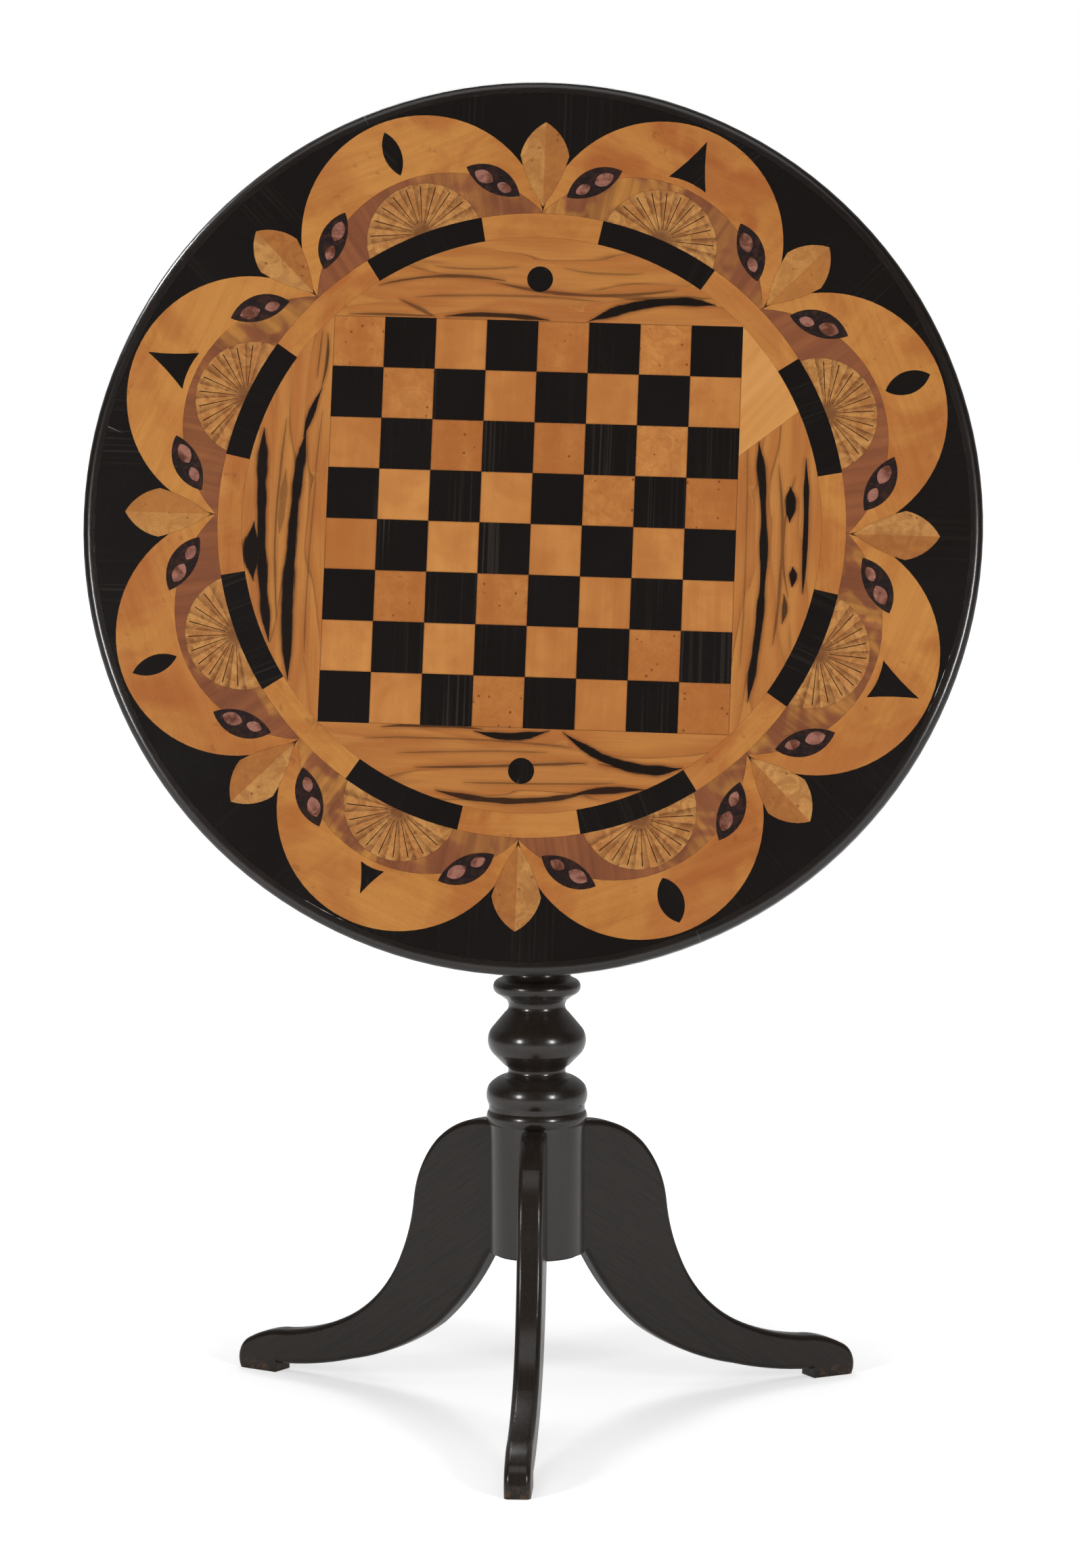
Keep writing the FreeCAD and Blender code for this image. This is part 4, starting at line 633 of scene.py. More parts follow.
# The fine old crack in the ebony ground, which starts at the edge: its direction from the
# middle, and its course there.
CRACK_ANGLE = math.radians(169)
CRACK = {
    "Seed": 3.0, "Slope": -0.2, "Level": 0.072, "Width": 0.0011, "Wander": 0.0015,
    "Start": 0.346, "Finish": 0.4,
}


def ebony_wood(t, kind):
    """Ebony whose lines run up each square, or outwards in each piece of a ring."""
    place = t.inlay_place()
    if kind == "squares":
        cell = t.square(place)
        along, strongest = t.swapped(place), 0.75
    else:
        cell = t.sector(place, LOBES if kind == "ground" else RING_BLOCKS)
        along, strongest = cell["Vector"], 0.4
    first, second = t.chances(cell["Number"])[:2]
    lines = t.group("Ebony lines", {"Vector": along, "Seed": t.times(first, 9.0)})["Lines"]
    c = colours()
    colour = t.tint(c.ebony, (c.ebony_line, lines, t.step(second, 0.25, 1.0, 0.12, strongest)))
    height = None
    if kind == "ground":
        course = CRACK | {"Vector": t.turned(place, z=-CRACK_ANGLE)}
        crack = t.group("Dark vein", course)["Mask"]
        colour = t.mix(crack, colour, c.crack)
        height = t.times(crack, -2.0)
    return polished(t, colour, place, height, EBONY_ROUGHNESS)


def pale_square_wood(t):
    """Pale wood that is plain in some squares, and streaked or burred in others."""
    place = t.inlay_place()
    cell = t.square(place)
    first, second, third = t.chances(cell["Number"])
    seed = t.times(first, 7.0)
    grain = t.grain(t.swapped(place), seed)
    burr = t.burr(place, seed, 70.0)
    c = colours()
    is_burr = t.step(second, 0.45, 0.6)
    tone = t.add(t.times(first, 0.75), t.times(t.less(grain["Tone"], 0.5), 0.35))
    streaks = t.times(t.times(grain["Rings"], t.step(third, 0.5, 1.0, 0.08, 0.42)), 0.6)
    cloud = t.noise(t.shifted(place, seed), 34.0, detail=2.5, roughness=0.55, distortion=0.6)
    colour = t.tint(
        t.mix(t.capped(tone), c.square, c.square_deep),
        (c.honey_deep, streaks, t.less(1.0, is_burr)),
        (c.square_deep, t.step(cloud, 0.36, 0.66), 0.4),
        (c.square_deep, t.times(burr["Blotch"], is_burr), 0.5),
        (c.burr_deep, t.times(burr["Curls"], is_burr), 0.4),
        (c.veined_deep, t.times(burr["Eyes"], is_burr), 0.85),
        (c.honey_deep, grain["Fibre"], 0.1),
        (c.veined_deep, cell["Edge"], 0.45),
    )
    return polished(t, colour, place, t.times(grain["Fibre"], 0.12))


def honey_wood(t, count, turn=0.0):
    """Plain honey wood whose grain follows the ring, piece by piece."""
    place = t.inlay_place()
    cell = t.sector(place, count, turn)
    first, second = t.chances(cell["Number"], start=40.5)[:2]
    grain = t.grain(t.swapped(cell["Vector"]), t.times(first, 6.0))
    cloud = t.noise(t.shifted(place, first), 15.0, detail=3.5, roughness=0.58, distortion=0.9)
    tone = t.add(
        t.times(t.step(cloud, 0.36, 0.64), 0.75), t.times(t.less(second, 0.5), 0.45)
    )
    specks = t.noise(t.shifted(place, second), 75.0, roughness=0.6)
    c = colours()
    colour = t.tint(
        t.mix(t.capped(tone), c.honey, c.honey_deep),
        (c.square, grain["Tone"], 0.35),
        (c.veined_deep, t.step(specks, 0.66, 0.74), 0.35),
        (c.honey_deep, grain["Rings"], 0.2),
        (c.veined_deep, grain["Fibre"], 0.1),
        (c.veined_deep, grain["Pores"], 0.25),
    )
    return polished(t, colour, place, t.times(grain["Fibre"], 0.15))


def burr_wood(t, pale, strength):
    """Burr with blotches, curling lines and eyes, different in each leaf."""
    place = t.inlay_place()
    cell = t.sector(place, RING_BLOCKS)
    first, second = t.chances(cell["Number"], start=3.7)[:2]
    burr = t.burr(place, t.times(first, 5.0), 60.0)
    grain = t.grain(cell["Vector"], first)
    c = colours()
    colour = t.tint(getattr(c, pale), (c.burr_deep, burr["Blotch"], strength))
    colour = t.mix(t.step(second, 0.3, 1.0, finish=0.35), colour, c.honey)
    colour = t.tint(
        colour,
        (c.burr_deep, grain["Tone"], 0.3),
        (c.burr_deep, burr["Curls"], 0.4),
        (c.veined_deep, burr["Eyes"], 0.6),
    )
    return polished(t, colour, place, t.times(burr["Blotch"], 0.2))


def fan_wood(t):
    """Burr flutes that spread from the foot of each fan, each scorched along one side."""
    place = t.inlay_place()
    cell = t.sector(place, LOBES, math.pi / LOBES)
    out, across, up = t.parts(cell["Vector"])[:3]
    ahead = t.less(out, sizes().ring_outer)
    bearing = t.math("ARCTAN2", across, ahead)
    flute = t.math("FRACT", t.add(t.math("DIVIDE", bearing, math.radians(RIB_STEP)), 0.5))
    reach = t.far(ahead, across)
    first = t.chances(cell["Number"], start=3.7)[0]
    burr = t.burr(place, t.times(first, 5.0), 85.0)
    grain = t.grain(t.vector(reach, t.times(bearing, 0.03), up), first)
    c = colours()
    scorch = t.times(t.step(flute, 0.45, 1.0), t.step(burr["Blotch"], 0.0, 1.0, 0.6, 0.95))
    colour = t.tint(
        c.burr,
        (c.burr_deep, burr["Blotch"], 0.7),
        (c.burr_deep, burr["Curls"], 0.35),
        (c.veined_deep, burr["Eyes"], 0.6),
        (c.honey_deep, grain["Tone"], 0.3),
        (c.scorch, scorch, 0.8),
    )
    colour = t.mix(t.step(reach, 0.004, 0.016, 0.75, 0.0), colour, c.scorch)
    return polished(t, colour, place, t.times(burr["Blotch"], 0.2))


def pink_brown_wood(t):
    """Streaked pink-brown wood with honey patches, different in each fill."""
    place = t.inlay_place()
    cell = t.sector(place, RING_BLOCKS, math.pi / RING_BLOCKS)
    first, second = t.chances(cell["Number"], start=9.1)[:2]
    grain = t.grain(cell["Vector"], t.times(first, 4.0))
    patches = t.noise(t.shifted(place, second), 34.0, distortion=0.6)
    c = colours()
    colour = t.tint(
        c.pink_brown,
        (c.honey, t.step(patches, 0.42, 0.58), t.step(second, 0.2, 0.8)),
        (c.pink_deep, grain["Tone"], 0.45),
        (c.pink_deep, grain["Rings"], 0.35),
        (c.veined_deep, grain["Fibre"], 0.15),
    )
    return polished(t, colour, place, t.times(grain["Fibre"], 0.2))


def scroll_wood(t):
    """Near-black mottled wood with its fibres just showing."""
    place = t.inlay_place()
    c = colours()
    mottle = t.noise(place, 120.0, detail=3.0, roughness=0.6, distortion=1.2)
    grain = t.grain(place, 1.9)
    colour = t.tint(
        c.scroll,
        (c.pink_deep, t.step(mottle, 0.45, 0.7), 0.3),
        (c.ebony_line, grain["Fibre"], 0.15),
    )
    return polished(t, colour, place, None, EBONY_ROUGHNESS)


def scroll_eye_wood(t):
    """Pinkish wood with deep brown mottling."""
    place = t.inlay_place()
    c = colours()
    mottle = t.noise(place, 85.0, detail=3.0, roughness=0.6, distortion=0.8)
    grain = t.grain(place, 6.1)
    colour = t.mix(t.step(mottle, 0.38, 0.66), c.scroll_eye, c.pink_deep)
    return polished(t, t.tint(colour, (c.scroll, grain["Fibre"], 0.2)), place)


def patch_wood(t):
    """Pale wood with its grain askew, as in a small repair."""
    place = t.inlay_place()
    c = colours()
    grain = t.grain(t.turned(place, z=-0.9), 3.3)
    colour = t.tint(c.patch, (c.honey, grain["Tone"], 0.5), (c.honey_deep, grain["Rings"], 0.15))
    return polished(t, colour, place, t.times(grain["Fibre"], 0.15))


# Veins of each panel. Each row has three places (along, out from the board's edge), the width
# and how far it wanders, in millimetres, and how dark it is. Along is positive to the right or
# away from the player.
PANEL_VEINS = {
    "panel_far": (
        ((38, -1), (74, 13), (152, 17), 7.5, 2.0, 1.0),
        ((56, 22), (100, 22), (152, 24), 4.0, 2.0, 0.45),
        ((-84, 1), (-30, 4), (14, 0), 4.5, 1.5, 0.9),
        ((-122, 17), (-104, 9), (-84, -1), 4.0, 2.0, 0.55),
        ((-168, 1), (-130, 2), (-80, 1), 1.6, 1.0, 0.6),
        ((-142, 25), (-84, 36), (-22, 32), 2.2, 2.0, 0.65),
        ((-44, 34), (20, 24), (122, 31), 2.2, 2.0, 0.6),
        ((-112, 17), (-30, 21), (62, 18), 1.4, 5.0, 0.4),
        ((-98, 46), (-50, 43), (-10, 47), 1.4, 4.0, 0.4),
        ((12, 48), (50, 42), (96, 44), 1.4, 4.0, 0.35),
    ),
    "panel_near": (
        ((-46, 2), (-6, 7), (27, 0), 6.0, 2.0, 1.0),
        ((-124, 3), (-76, 0), (-26, 3), 2.6, 2.0, 0.75),
        ((30, 0), (60, 19), (138, 28), 9.0, 1.5, 1.0),
        ((-96, 36), (0, 31), (62, 27), 1.9, 3.0, 0.65),
        ((58, 27), (80, 30), (112, 34), 1.8, 2.0, 0.6),
        ((-76, 53), (-10, 61), (62, 51), 4.0, 2.0, 0.9),
        ((38, 55), (70, 50), (108, 48), 7.5, 1.5, 0.95),
        ((-140, 12), (-60, 10), (50, 15), 1.4, 5.0, 0.4),
        ((-112, 24), (-30, 21), (30, 20), 1.4, 4.0, 0.4),
        ((-58, 47), (6, 46), (88, 43), 1.4, 3.0, 0.5),
    ),
    "panel_left": (
        ((-142, 27), (-20, 28), (76, 20), 7.5, 3.5, 1.0),
        ((64, 23), (88, 16), (114, 6), 5.5, 1.5, 1.0),
        ((-110, 43), (-30, 53), (78, 55), 7.5, 2.5, 1.0),
        ((-58, 58), (-30, 62), (-2, 60), 12.0, 3.0, 1.0),
        ((-18, 39), (14, 37), (44, 35), 7.0, 5.0, 0.4),
        ((104, 10), (130, 5), (162, 6), 2.2, 1.5, 0.75),
        ((112, 13), (140, 11), (166, 9), 1.6, 1.0, 0.5),
        ((-96, 37), (0, 42), (92, 36), 1.4, 4.0, 0.5),
        ((-124, 13), (0, 12), (100, 6), 1.3, 4.0, 0.35),
    ),
    "panel_right": (
        ((-148, 14), (-60, 23), (80, 16), 5.6, 2.5, 1.0),
        ((-56, 57), (10, 58), (68, 56), 4.6, 1.5, 1.0),
        ((6, 44), (23, 45), (40, 44), 9.0, 1.0, 1.0),
        ((-48, 48), (-38, 49), (-28, 48), 7.0, 1.0, 1.0),
        ((-80, 40), (-64, 43), (-50, 41), 4.0, 1.0, 0.8),
        ((-104, 32), (-20, 39), (64, 33), 1.9, 5.0, 0.5),
        ((-62, 47), (0, 40), (54, 50), 1.6, 3.0, 0.5),
        ((-124, 7), (0, 9), (104, 6), 1.2, 3.0, 0.3),
    ),
}
# The longest taper at a vein's end.
VEIN_TAPER = 0.03
# Panels whose length runs away from the player, and those that lie on a negative side.
UPRIGHT_PANELS = ("panel_left", "panel_right")
TURNED_PANELS = ("panel_near", "panel_left")


def curve_through(first, second, third):
    """Level, slope and bend of the curve through three points, in metres."""
    (x1, y1), (x2, y2), (x3, y3) = [(x / 1000, y / 1000) for x, y in (first, second, third)]
    slope_a = (y2 - y1) / (x2 - x1)
    slope_b = (y3 - y2) / (x3 - x2)
    bend = (slope_b - slope_a) / (x3 - x1)
    slope = slope_a - bend * (x1 + x2)
    return y1 - slope * x1 - bend * x1 * x1, slope, bend


def veined_wood(t, node):
    """Olive-brown wood with fine brown veins and a few heavy black ones."""
    place = t.inlay_place()
    x, y, z = t.parts(place)[:3]
    along, out = (y, x) if node in UPRIGHT_PANELS else (x, y)
    if node in TURNED_PANELS:
        out = t.times(out, -1.0)
    beyond = t.less(out, sizes().square_side * HALF_BOARD)
    local = t.vector(along, beyond, z)
    seed = 1.0 + 2.1 * list(PANEL_VEINS).index(node)
    c = colours()
    grain = t.grain(local, seed)
    swirl = t.streaks(local, 4.0, 20.0, detail=2.5, distortion=0.5)
    bands = t.math("FRACT", t.add(t.times(swirl, 6.0), t.times(beyond, 34.0)))
    edge = t.times(t.fall(bands, 0.0, 0.2), t.step(bands, 0.0, 0.03))
    colour = t.tint(
        c.veined,
        (c.honey, grain["Tone"], 0.55),
        (c.honey_deep, t.step(bands, 0.3, 1.0), 0.55),
        (c.veined_deep, edge, t.step(grain["Tone"], 0.2, 0.9, 0.2, 0.8)),
        (c.veined_deep, grain["Fibre"], 0.15),
    )
    masks, halos = [], []
    for number, row in enumerate(PANEL_VEINS[node]):
        first, second, third, width, wander, dark = row
        level, slope, bend = curve_through(first, second, third)
        start, end = first[0] / 1000, third[0] / 1000
        inputs = {
            "Vector": local, "Seed": seed + number * 1.3, "Level": level, "Slope": slope,
            "Bend": bend, "Width": width / 1000, "Wander": wander / 1000,
            "Start": start, "Finish": end, "Taper": min(VEIN_TAPER, (end - start) * 0.45),
        }
        vein = t.group("Dark vein", inputs)
        masks.append(t.times(vein["Mask"], dark))
        halos.append(t.times(vein["Halo"], dark))
    colour = t.tint(colour, (c.veined_deep, t.larger(*halos), 0.45))
    colour = t.mix(t.larger(*masks), colour, c.vein)
    return polished(t, colour, place, t.times(grain["Fibre"], 0.2))


def core_wood(t, number):
    """One plank of the core, with its own figure and shade, and a century of dust."""
    place = t.inlay_place()
    c = colours()
    grain = t.grain(place, 0.7 + 2.9 * number)
    arch = t.noise(t.stretch(place, (1.6, 16.0, 16.0), place=(0.0, number, 0.0)), 1.0)
    figure = t.math("PINGPONG", t.times(arch, 9.0), 1.0)
    colour = t.tint(
        c.core,
        (c.core_deep, grain["Rings"], 0.6),
        (c.core_deep, t.step(figure, 0.25, 1.0), 0.5),
        (c.core_deep, grain["Fibre"], 0.35),
    )
    colour = t.mix(0.12 * (number % 3), colour, c.wedge)
    dirt = t.noise(place, 7.0, detail=4.0, roughness=0.6)
    colour = t.mix(t.step(dirt, 0.45, 0.75, finish=0.5), colour, c.core_deep)
    saw = t.streaks(place, 260.0, 3.0, detail=1.0)
    height = t.add(t.times(saw, 0.5), t.times(grain["Fibre"], 0.5))
    return polished(t, colour, place, height, roughness=0.66, change=0.2)


def wedge_wood(t):
    """Plain wood, rough from the saw."""
    place = t.place()
    c = colours()
    grain = t.grain(place, 4.0)
    colour = t.mix(grain["Rings"], c.wedge, c.core)
    return polished(t, colour, place, grain["Fibre"], roughness=0.6, change=0.2)


# Metals: the CAD nodes, the bright and dull colours, the scale and start of the dull patches,
# and the roughness.
METALS = {
    "Old brass": (
        ("catch_plate", "catch_bolt", "catch_keeper"), "brass", "tarnish", 90.0, 0.42, 0.26,
    ),
    "Brass screws": (("catch_screws", "keeper_screws"), "brass", "tarnish", 260.0, 0.38, 0.34),
    "Blackened iron": (("leg_plate", "pivot_pins"), "iron", "rust", 60.0, 0.55, 0.5),
    "Steel screws": (("leg_plate_screws", "bearer_screws"), "steel", "rust", 320.0, 0.45, 0.42),
    "Spring wire": (("catch_spring",), "steel", "iron", 400.0, 0.5, 0.22),
}


def old_metal(t, look):
    """Metal with duller patches and fine scratches."""
    bright, dull, scale, start, roughness = look
    place = t.place()
    c = colours()
    patches = t.noise(place, scale, detail=4.0, roughness=0.65)
    patches = t.step(patches, start, start + 0.22)
    scratches = t.noise(t.stretch(place, (60.0, 900.0, 260.0)), 1.0, roughness=0.6)
    return {
        "Base Color": t.tint(getattr(c, bright), (getattr(c, dull), patches, 0.8)),
        "Metallic": t.step(patches, 0.0, 1.0, 1.0, 0.75),
        "Roughness": t.add(t.times(patches, 0.22), t.add(roughness, t.times(scratches, 0.1))),
        "Height": t.add(t.times(scratches, 0.4), t.times(patches, 0.3)),
    }


# Operators


class FinishStand(bpy.types.Operator):
    """Stain the column, legs, hinge block, bearers and edge moulding"""

    bl_idname = "games_table.finish_stand"
    bl_label = "Finish the stand"

    def execute(self, context):
        wax(
            "Turned stained wood", stained_wood, "column", gloss=0.7, follow=up_the_column,
            marks=True,
        )
        for node in LEG_NODES:
            name = "Stained " + node.replace("_", " ")
            follow = partial(down_leg, node=node)
            wax(name, stained_wood, node, gloss=0.15, follow=follow, scuffs=True)
        wax("Stained block", stained_wood, "hinge_block", follow=Tree.place)
        bearers = ("bearer_left", "bearer_right")
        wax("Stained rails", stained_wood, *bearers, follow=along_bearer)
        wax("Stained moulding", moulding_wood, "edge_moulding", gloss=0.7)
        return {"FINISHED"}


class FinishCore(bpy.types.Operator):
    """Give the planks under the veneers and the tenon's wedge their bare wood"""

    bl_idname = "games_table.finish_core"
    bl_label = "Finish the core"

    def execute(self, context):
        for number, node in enumerate(PLANK_NODES):
            finish(f"Planed core wood {number + 1}", core_wood, node, number=number)
        finish("Sawn wedge wood", wedge_wood, "tenon_wedge")
        return {"FINISHED"}


class FinishBoard(bpy.types.Operator):
    """Polish the pale and ebony squares"""

    bl_idname = "games_table.finish_board"
    bl_label = "Finish the board"

    def execute(self, context):
        inlay("Pale squares", pale_square_wood, "squares_light")
        inlay("Ebony squares", ebony_wood, "squares_dark", "panel_dots", kind="squares")
        return {"FINISHED"}


class FinishPanels(bpy.types.Operator):
    """Polish the veined panels and the patch round the board"""

    bl_idname = "games_table.finish_panels"
    bl_label = "Finish the panels"

    def execute(self, context):
        for node in PANEL_VEINS:
            name = "Veined wood " + node.replace("panel_", "")
            inlay(name, veined_wood, node, node=node)
        inlay("Patch wood", patch_wood, "corner_patch")
        return {"FINISHED"}


class FinishRing(bpy.types.Operator):
    """Polish the ring of pale and ebony blocks"""

    bl_idname = "games_table.finish_ring"
    bl_label = "Finish the ring"

    def execute(self, context):
        inlay("Pale ring blocks", honey_wood, "ring_light", count=RING_BLOCKS)
        inlay("Ebony ring blocks", ebony_wood, "ring_dark", kind="blocks")
        return {"FINISHED"}


class FinishLobes(bpy.types.Operator):
    """Polish the lobes, the pointed leaves and the ebony ground round them"""

    bl_idname = "games_table.finish_lobes"
    bl_label = "Finish the lobes"

    def execute(self, context):
        turn = math.pi / LOBES
        inlay("Crescent wood", honey_wood, "lobe_crescents", count=LOBES, turn=turn)
        inlay("Fluted fan burr", fan_wood, "lobe_fans")
        inlay("Fill wood", pink_brown_wood, "lobe_fills")
        inlay("Scroll wood", scroll_wood, "lobe_scrolls")
        inlay("Scroll eye wood", scroll_eye_wood, "scroll_eyes")
        inlay("Pale leaf burr", burr_wood, "leaf_points_light", pale="burr", strength=0.6)
        inlay("Brown leaf burr", burr_wood, "leaf_points_dark", pale="brown_burr", strength=0.7)
        ground = ("ebony_ground", "crescent_leaves", "crescent_darts")
        inlay("Ebony ground", ebony_wood, *ground, kind="ground")
        return {"FINISHED"}


class FinishMetal(bpy.types.Operator):
    """Age the catch, keeper, pins, plate, spring and screws"""

    bl_idname = "games_table.finish_metal"
    bl_label = "Finish the metal"

    def execute(self, context):
        for name, (nodes, *look) in METALS.items():
            finish(name, old_metal, *nodes, look=look)
        return {"FINISHED"}


def add_piece(name, mesh, material):
    """An object at the origin made from a finished mesh."""
    data = bpy.data.meshes.new(name)
    mesh.to_mesh(data)
    mesh.free()
    data.materials.append(material)
    piece = bpy.data.objects.new(name, data)
    bpy.context.scene.collection.objects.link(piece)
    return piece


# Angles of a fan's nine ribs from its axis.
RIB_ANGLES = [RIB_STEP * number for number in range(-4, 5)]
# The fan's outline, as the solid has it: how far out its crown lies in the band, and half the
# angle that its foot takes up on the ring.
FAN_CROWN_SHARE = 0.42
FAN_HALF_ANGLE = 10.7
# Where the ribs start, as a share of the band, and end, as a share of the fan's reach.
RIB_START_SHARE = 0.09
RIB_END_SHARE = 0.93
# Height of the playing face over the middle of the veneers.
FACE_LEVEL = 0.001


def fan_reach(lean):
    """How far a fan reaches from the middle of its foot, in one direction from its axis."""
    s = sizes()
    crown = s.ring_outer + s.band * FAN_CROWN_SHARE
    across = math.cos(math.radians(FAN_HALF_ANGLE))
    centre = (crown**2 - s.ring_outer**2) / (2 * (crown - s.ring_outer * across))
    radius = crown - centre
    back = s.ring_outer - centre
    along = back * math.cos(math.radians(lean))
    return -along + math.sqrt(along**2 + radius**2 - back**2)


class AddFanRibs(bpy.types.Operator):
    """Let thin ebony ribs into the eight fans"""

    bl_idname = "games_table.add_fan_ribs"
    bl_label = "Add the fans' ribs"

    def execute(self, context):
        s = sizes()
        mesh = bmesh.new()
        start = s.band * RIB_START_SHARE
        for lobe in range(LOBES):
            axis = math.tau / LOBES * (lobe + 0.5)
            foot = Matrix.Rotation(axis, 4, "Z") @ Matrix.Translation((s.ring_outer, 0, 0))
            for lean in RIB_ANGLES:
                end = fan_reach(lean) * RIB_END_SHARE
                outline = (
                    (start, -s.rib_foot / 2), (end, -s.rib_tip / 2), (end + s.rib_tip, 0.0),
                    (end, s.rib_tip / 2), (start, s.rib_foot / 2),
                )
                corners = [mesh.verts.new((x, y, FACE_LEVEL - s.rib_depth)) for x, y in outline]
                face = mesh.faces.new(corners)
                grown = bmesh.ops.extrude_face_region(mesh, geom=[face])["geom"]
                lifted = [item for item in grown if isinstance(item, bmesh.types.BMVert)]
                rise = (0.0, 0.0, s.rib_rise + s.rib_depth)
                bmesh.ops.translate(mesh, verts=lifted, vec=rise)
                place = foot @ Matrix.Rotation(math.radians(lean), 4, "Z")
                bmesh.ops.transform(mesh, matrix=place, verts=corners + lifted)
        bmesh.ops.recalc_face_normals(mesh, faces=mesh.faces)
        turn = Euler((-tilt_of_top(), 0.0, s.pattern_turn)).to_matrix().inverted().to_4x4()
        on_top = Matrix.Translation(inlay_centre()) @ turn
        bmesh.ops.transform(mesh, matrix=on_top, verts=mesh.verts)
        ribs = add_piece("fan_ribs", mesh, bpy.data.materials["Ebony ground"])
        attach(ribs, "top")
        return {"FINISHED"}


# How near points of a CAD mesh lie that are one, in metres.
MERGE_DISTANCE = 0.000002
# Angles below which two faces count as one plane, and above which their edge is sharp.
FLAT_ANGLE = math.radians(1)
SHARP_ANGLE = math.radians(40)


def merged_copy(node):
    """A copy of a CAD node's mesh with its loose triangles joined."""
    mesh = bmesh.new()
    mesh.from_mesh(frame["nodes"][node].data)
    bmesh.ops.remove_doubles(mesh, verts=mesh.verts, dist=MERGE_DISTANCE)
    return mesh


class EaseEdges(bpy.types.Operator):
    """Take the sharp edges off the hinge block and the bearers"""

    bl_idname = "games_table.ease_edges"
    bl_label = "Ease the edges"

    def execute(self, context):
        bodies = {"hinge_block": "stand", "bearer_left": "top", "bearer_right": "top"}
        for node, body in bodies.items():
            mesh = merged_copy(node)
            bmesh.ops.dissolve_limit(
                mesh, angle_limit=FLAT_ANGLE, verts=mesh.verts, edges=mesh.edges
            )
            sharp = [
                edge for edge in mesh.edges
                if edge.is_manifold and edge.calc_face_angle() > SHARP_ANGLE
            ]
            worn = mesh.loops.layers.float.new("eased_edge")
            rounded = bmesh.ops.bevel(
                mesh, geom=sharp, offset=sizes().easing, offset_type="OFFSET", segments=3,
                profile=0.5, affect="EDGES", material=-1, clamp_overlap=True,
            )
            for face in rounded["faces"]:
                for corner in face.loops:
                    corner[worn] = 1.0
            material = frame["nodes"][node].data.materials[0]
            piece = add_piece(node + "_eased", mesh, material)
            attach(piece, body)
            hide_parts(node)
        return {"FINISHED"}


class CoilSpring(bpy.types.Operator):
    """Give the catch's spring its own merged mesh, carried by the top, in place of the CAD node"""

    bl_idname = "games_table.coil_spring"
    bl_label = "Coil the spring"

    def execute(self, context):
        mesh = merged_copy("catch_spring")
        material = frame["nodes"]["catch_spring"].data.materials[0]
        piece = add_piece("catch_spring_coil", mesh, material)
        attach(piece, "top")
        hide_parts("catch_spring")
        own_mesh(piece)
        return {"FINISHED"}


# Distances from the column between which the floor grows white, in metres.
SHADOW_START, SHADOW_END = 0.25, 0.95
# Each lamp's place and target, its width and height, its power among the studio's properties,
# and its spread in degrees.
LAMPS = {
    "softbox_left": ((-1.62, -2.0, 1.0), (0.0, 0.0, 0.5), (0.26, 0.6), "softbox_watts", 180),
    "softbox_right": ((1.62, -2.0, 1.0), (0.0, 0.0, 0.5), (0.26, 0.6), "softbox_watts", 180),
    "top_light": ((0.0, -1.2, 3.0), (0.0, 0.0, 0.5), (2.4, 1.6), "top_watts", 180),
    "back_light": ((-0.3, 2.2, 3.0), (0.0, 0.0, 0.6), (1.3, 1.3), "back_watts", 180),
    "rim_light": ((-1.19, 0.11, 1.8), (-0.25, -0.05, 1.06), (0.3, 0.3), "rim_watts", 12),
}


def floor_material():
    """White round a soft shadow from above, and clear from below."""
    material = bpy.data.materials.new("Pale floor")
    t = empty_tree(material)
    s = studio()
    light = t.node("LightPath").outputs
    shiny = t.times(light["Is Glossy Ray"], s.floor_shine)
    seen = t.larger(light["Is Camera Ray"], shiny, light["Is Transmission Ray"])
    distance = t.far(*t.parts(t.place())[:2])
    glow = t.step(distance, SHADOW_START, SHADOW_END, s.floor_glow)
    inputs = {
        "Base Color": grey(0.8), "Roughness": 0.9, "Specular IOR Level": 0.0,
        "Emission Color": grey(1.0), "Emission Strength": t.times(seen, glow),
    }
    shader = t.node("BsdfPrincipled", inputs)
    below = t.node("NewGeometry").outputs["Backfacing"]
    clear = t.node("BsdfTransparent")
    both = t.node("MixShader", {0: below, 1: shader.outputs[0], 2: clear.outputs[0]})
    t.node("OutputMaterial", {"Surface": both.outputs[0]})
    return material


def set_world():
    """White to the camera, and to shiny surfaces paler behind the table than before it."""
    world = bpy.data.worlds.new("Studio")
    bpy.context.scene.world = world
    t = empty_tree(world)
    s = studio()
    light = t.node("LightPath").outputs
    direction = t.parts(t.node("TexCoord").outputs["Generated"])
    mirrored = t.step(direction[1], 0.0, 0.6, s.front_shine, s.back_shine)
    shiny = t.larger(light["Is Glossy Ray"], light["Is Transmission Ray"])
    glossy, plain, white = [
        t.node("Background", {"Color": grey(1.0), "Strength": strength}).outputs[0]
        for strength in (mirrored, s.fill, 1.0)
    ]
    unseen = t.node("MixShader", {0: shiny, 1: plain, 2: glossy}).outputs[0]
    shown = t.node("MixShader", {0: light["Is Camera Ray"], 1: unseen, 2: white})
    t.node("OutputWorld", {"Surface": shown.outputs[0]})


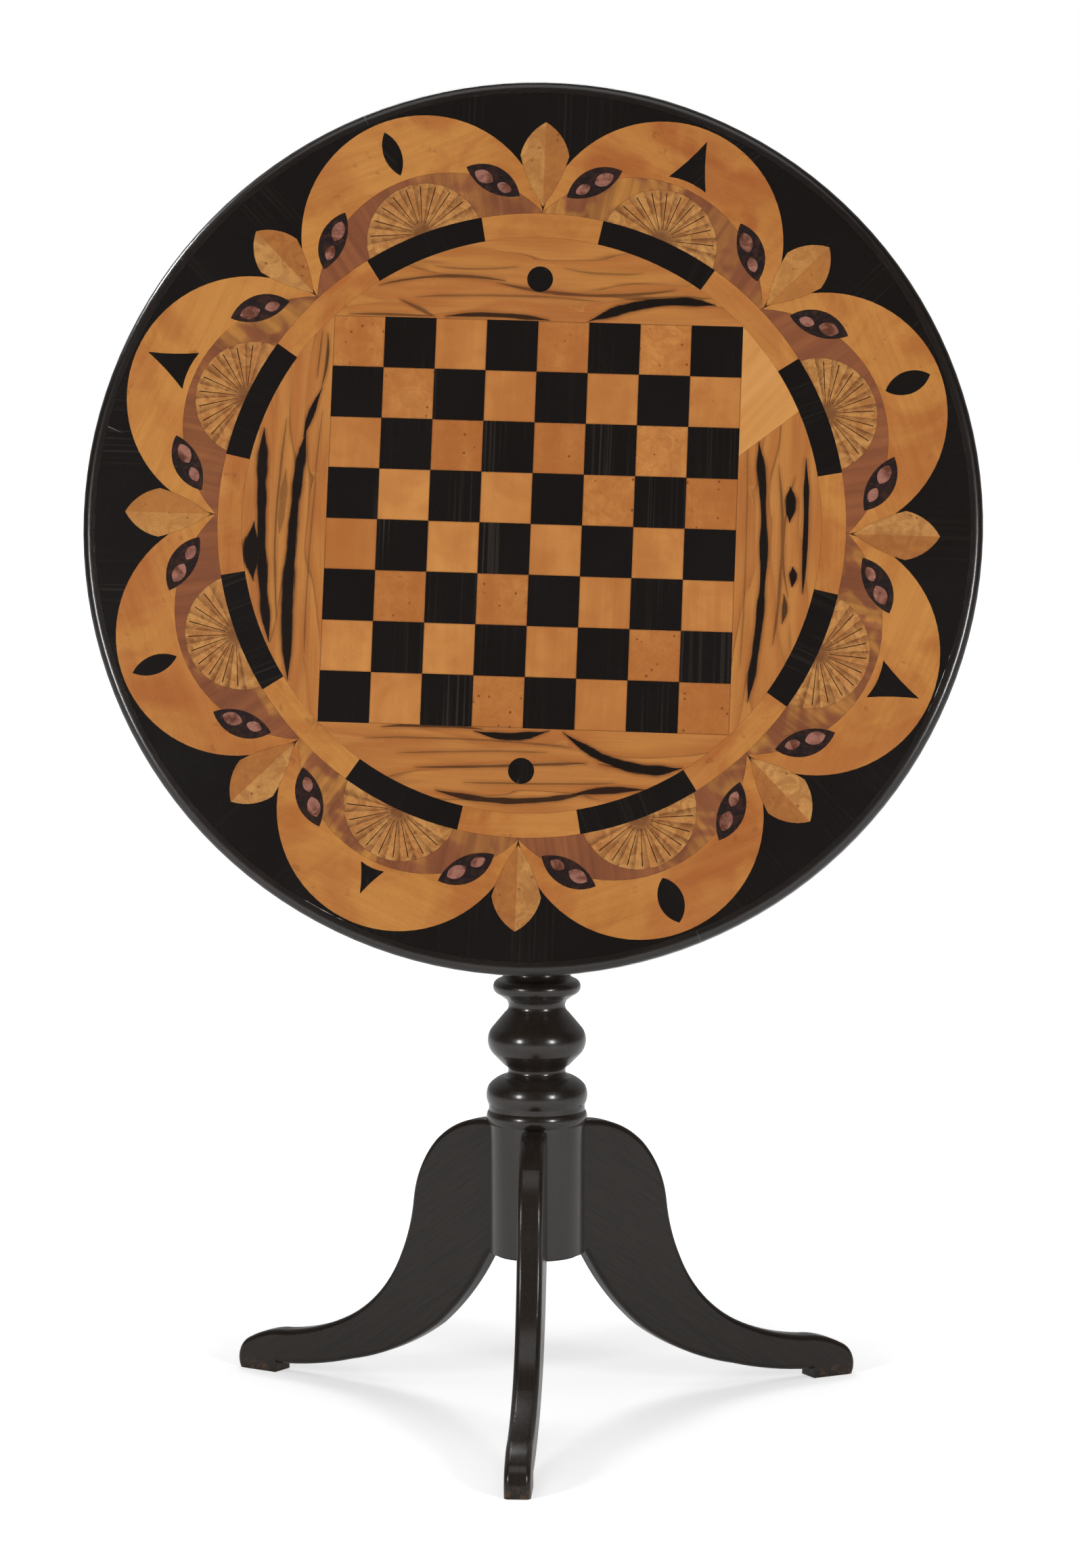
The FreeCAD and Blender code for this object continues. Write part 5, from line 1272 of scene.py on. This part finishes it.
class SetStage(bpy.types.Operator):
    """Set up the floor, the lights and the camera"""

    bl_idname = "games_table.set_stage"
    bl_label = "Set the stage"

    def execute(self, context):
        s = studio()
        mesh = bmesh.new()
        bmesh.ops.create_circle(mesh, cap_ends=True, segments=96, radius=s.floor_radius)
        floor = add_piece("floor", mesh, floor_material())
        set_world()
        for name, (place, target, size, watts, spread) in LAMPS.items():
            data = bpy.data.lights.new(name, "AREA")
            data.shape = "RECTANGLE"
            data.size, data.size_y = size
            data.energy = getattr(s, watts)
            data.spread = math.radians(spread)
            lamp = bpy.data.objects.new(name, data)
            lamp.location = place
            aim = Vector(target) - Vector(place)
            lamp.rotation_euler = aim.to_track_quat("-Z", "Y").to_euler()
            context.scene.collection.objects.link(lamp)
        camera_data = bpy.data.cameras.new("camera")
        camera_data.sensor_width = 36.0
        camera_data.lens = s.focal_pixels / IMAGE_HEIGHT * camera_data.sensor_width
        camera = bpy.data.objects.new("camera", camera_data)
        place = Vector((s.aside, -s.distance, s.height))
        place.rotate(Euler((0.0, 0.0, s.turn)))
        camera.location = place
        camera.rotation_euler = (math.pi / 2 - s.pitch, 0.0, s.turn)
        context.scene.collection.objects.link(camera)
        context.scene.camera = camera
        context.scene.view_settings.view_transform = "Standard"
        return {"FINISHED"}


STEPS = (
    FinishStand, FinishCore, FinishBoard, FinishPanels, FinishRing, FinishLobes, FinishMetal,
    AddFanRibs, EaseEdges, CoilSpring, SetStage,
)


class GamesTablePanel(bpy.types.Panel):
    """Steps that finish and stage the games table"""

    bl_idname = "VIEW3D_PT_games_table"
    bl_label = "Games table"
    bl_space_type = "VIEW_3D"
    bl_region_type = "UI"
    bl_category = "Games table"

    def draw(self, context):
        for step in STEPS:
            self.layout.operator(step.bl_idname)


SETTINGS = {
    "games_table_colours": GamesTableColours,
    "games_table_sizes": GamesTableSizes,
    "games_table_studio": GamesTableStudio,
}
CLASSES = (*SETTINGS.values(), *STEPS, GamesTablePanel)


def register():
    for item in CLASSES:
        bpy.utils.register_class(item)
    for name, group in SETTINGS.items():
        setattr(bpy.types.Scene, name, bpy.props.PointerProperty(type=group))


def unregister():
    for name in SETTINGS:
        delattr(bpy.types.Scene, name)
    for item in reversed(CLASSES):
        bpy.utils.unregister_class(item)


def main():
    register()
    make_groups()
    for step in STEPS:
        area, action = step.bl_idname.split(".")
        getattr(getattr(bpy.ops, area), action)()


if __name__ == "__main__":
    main()
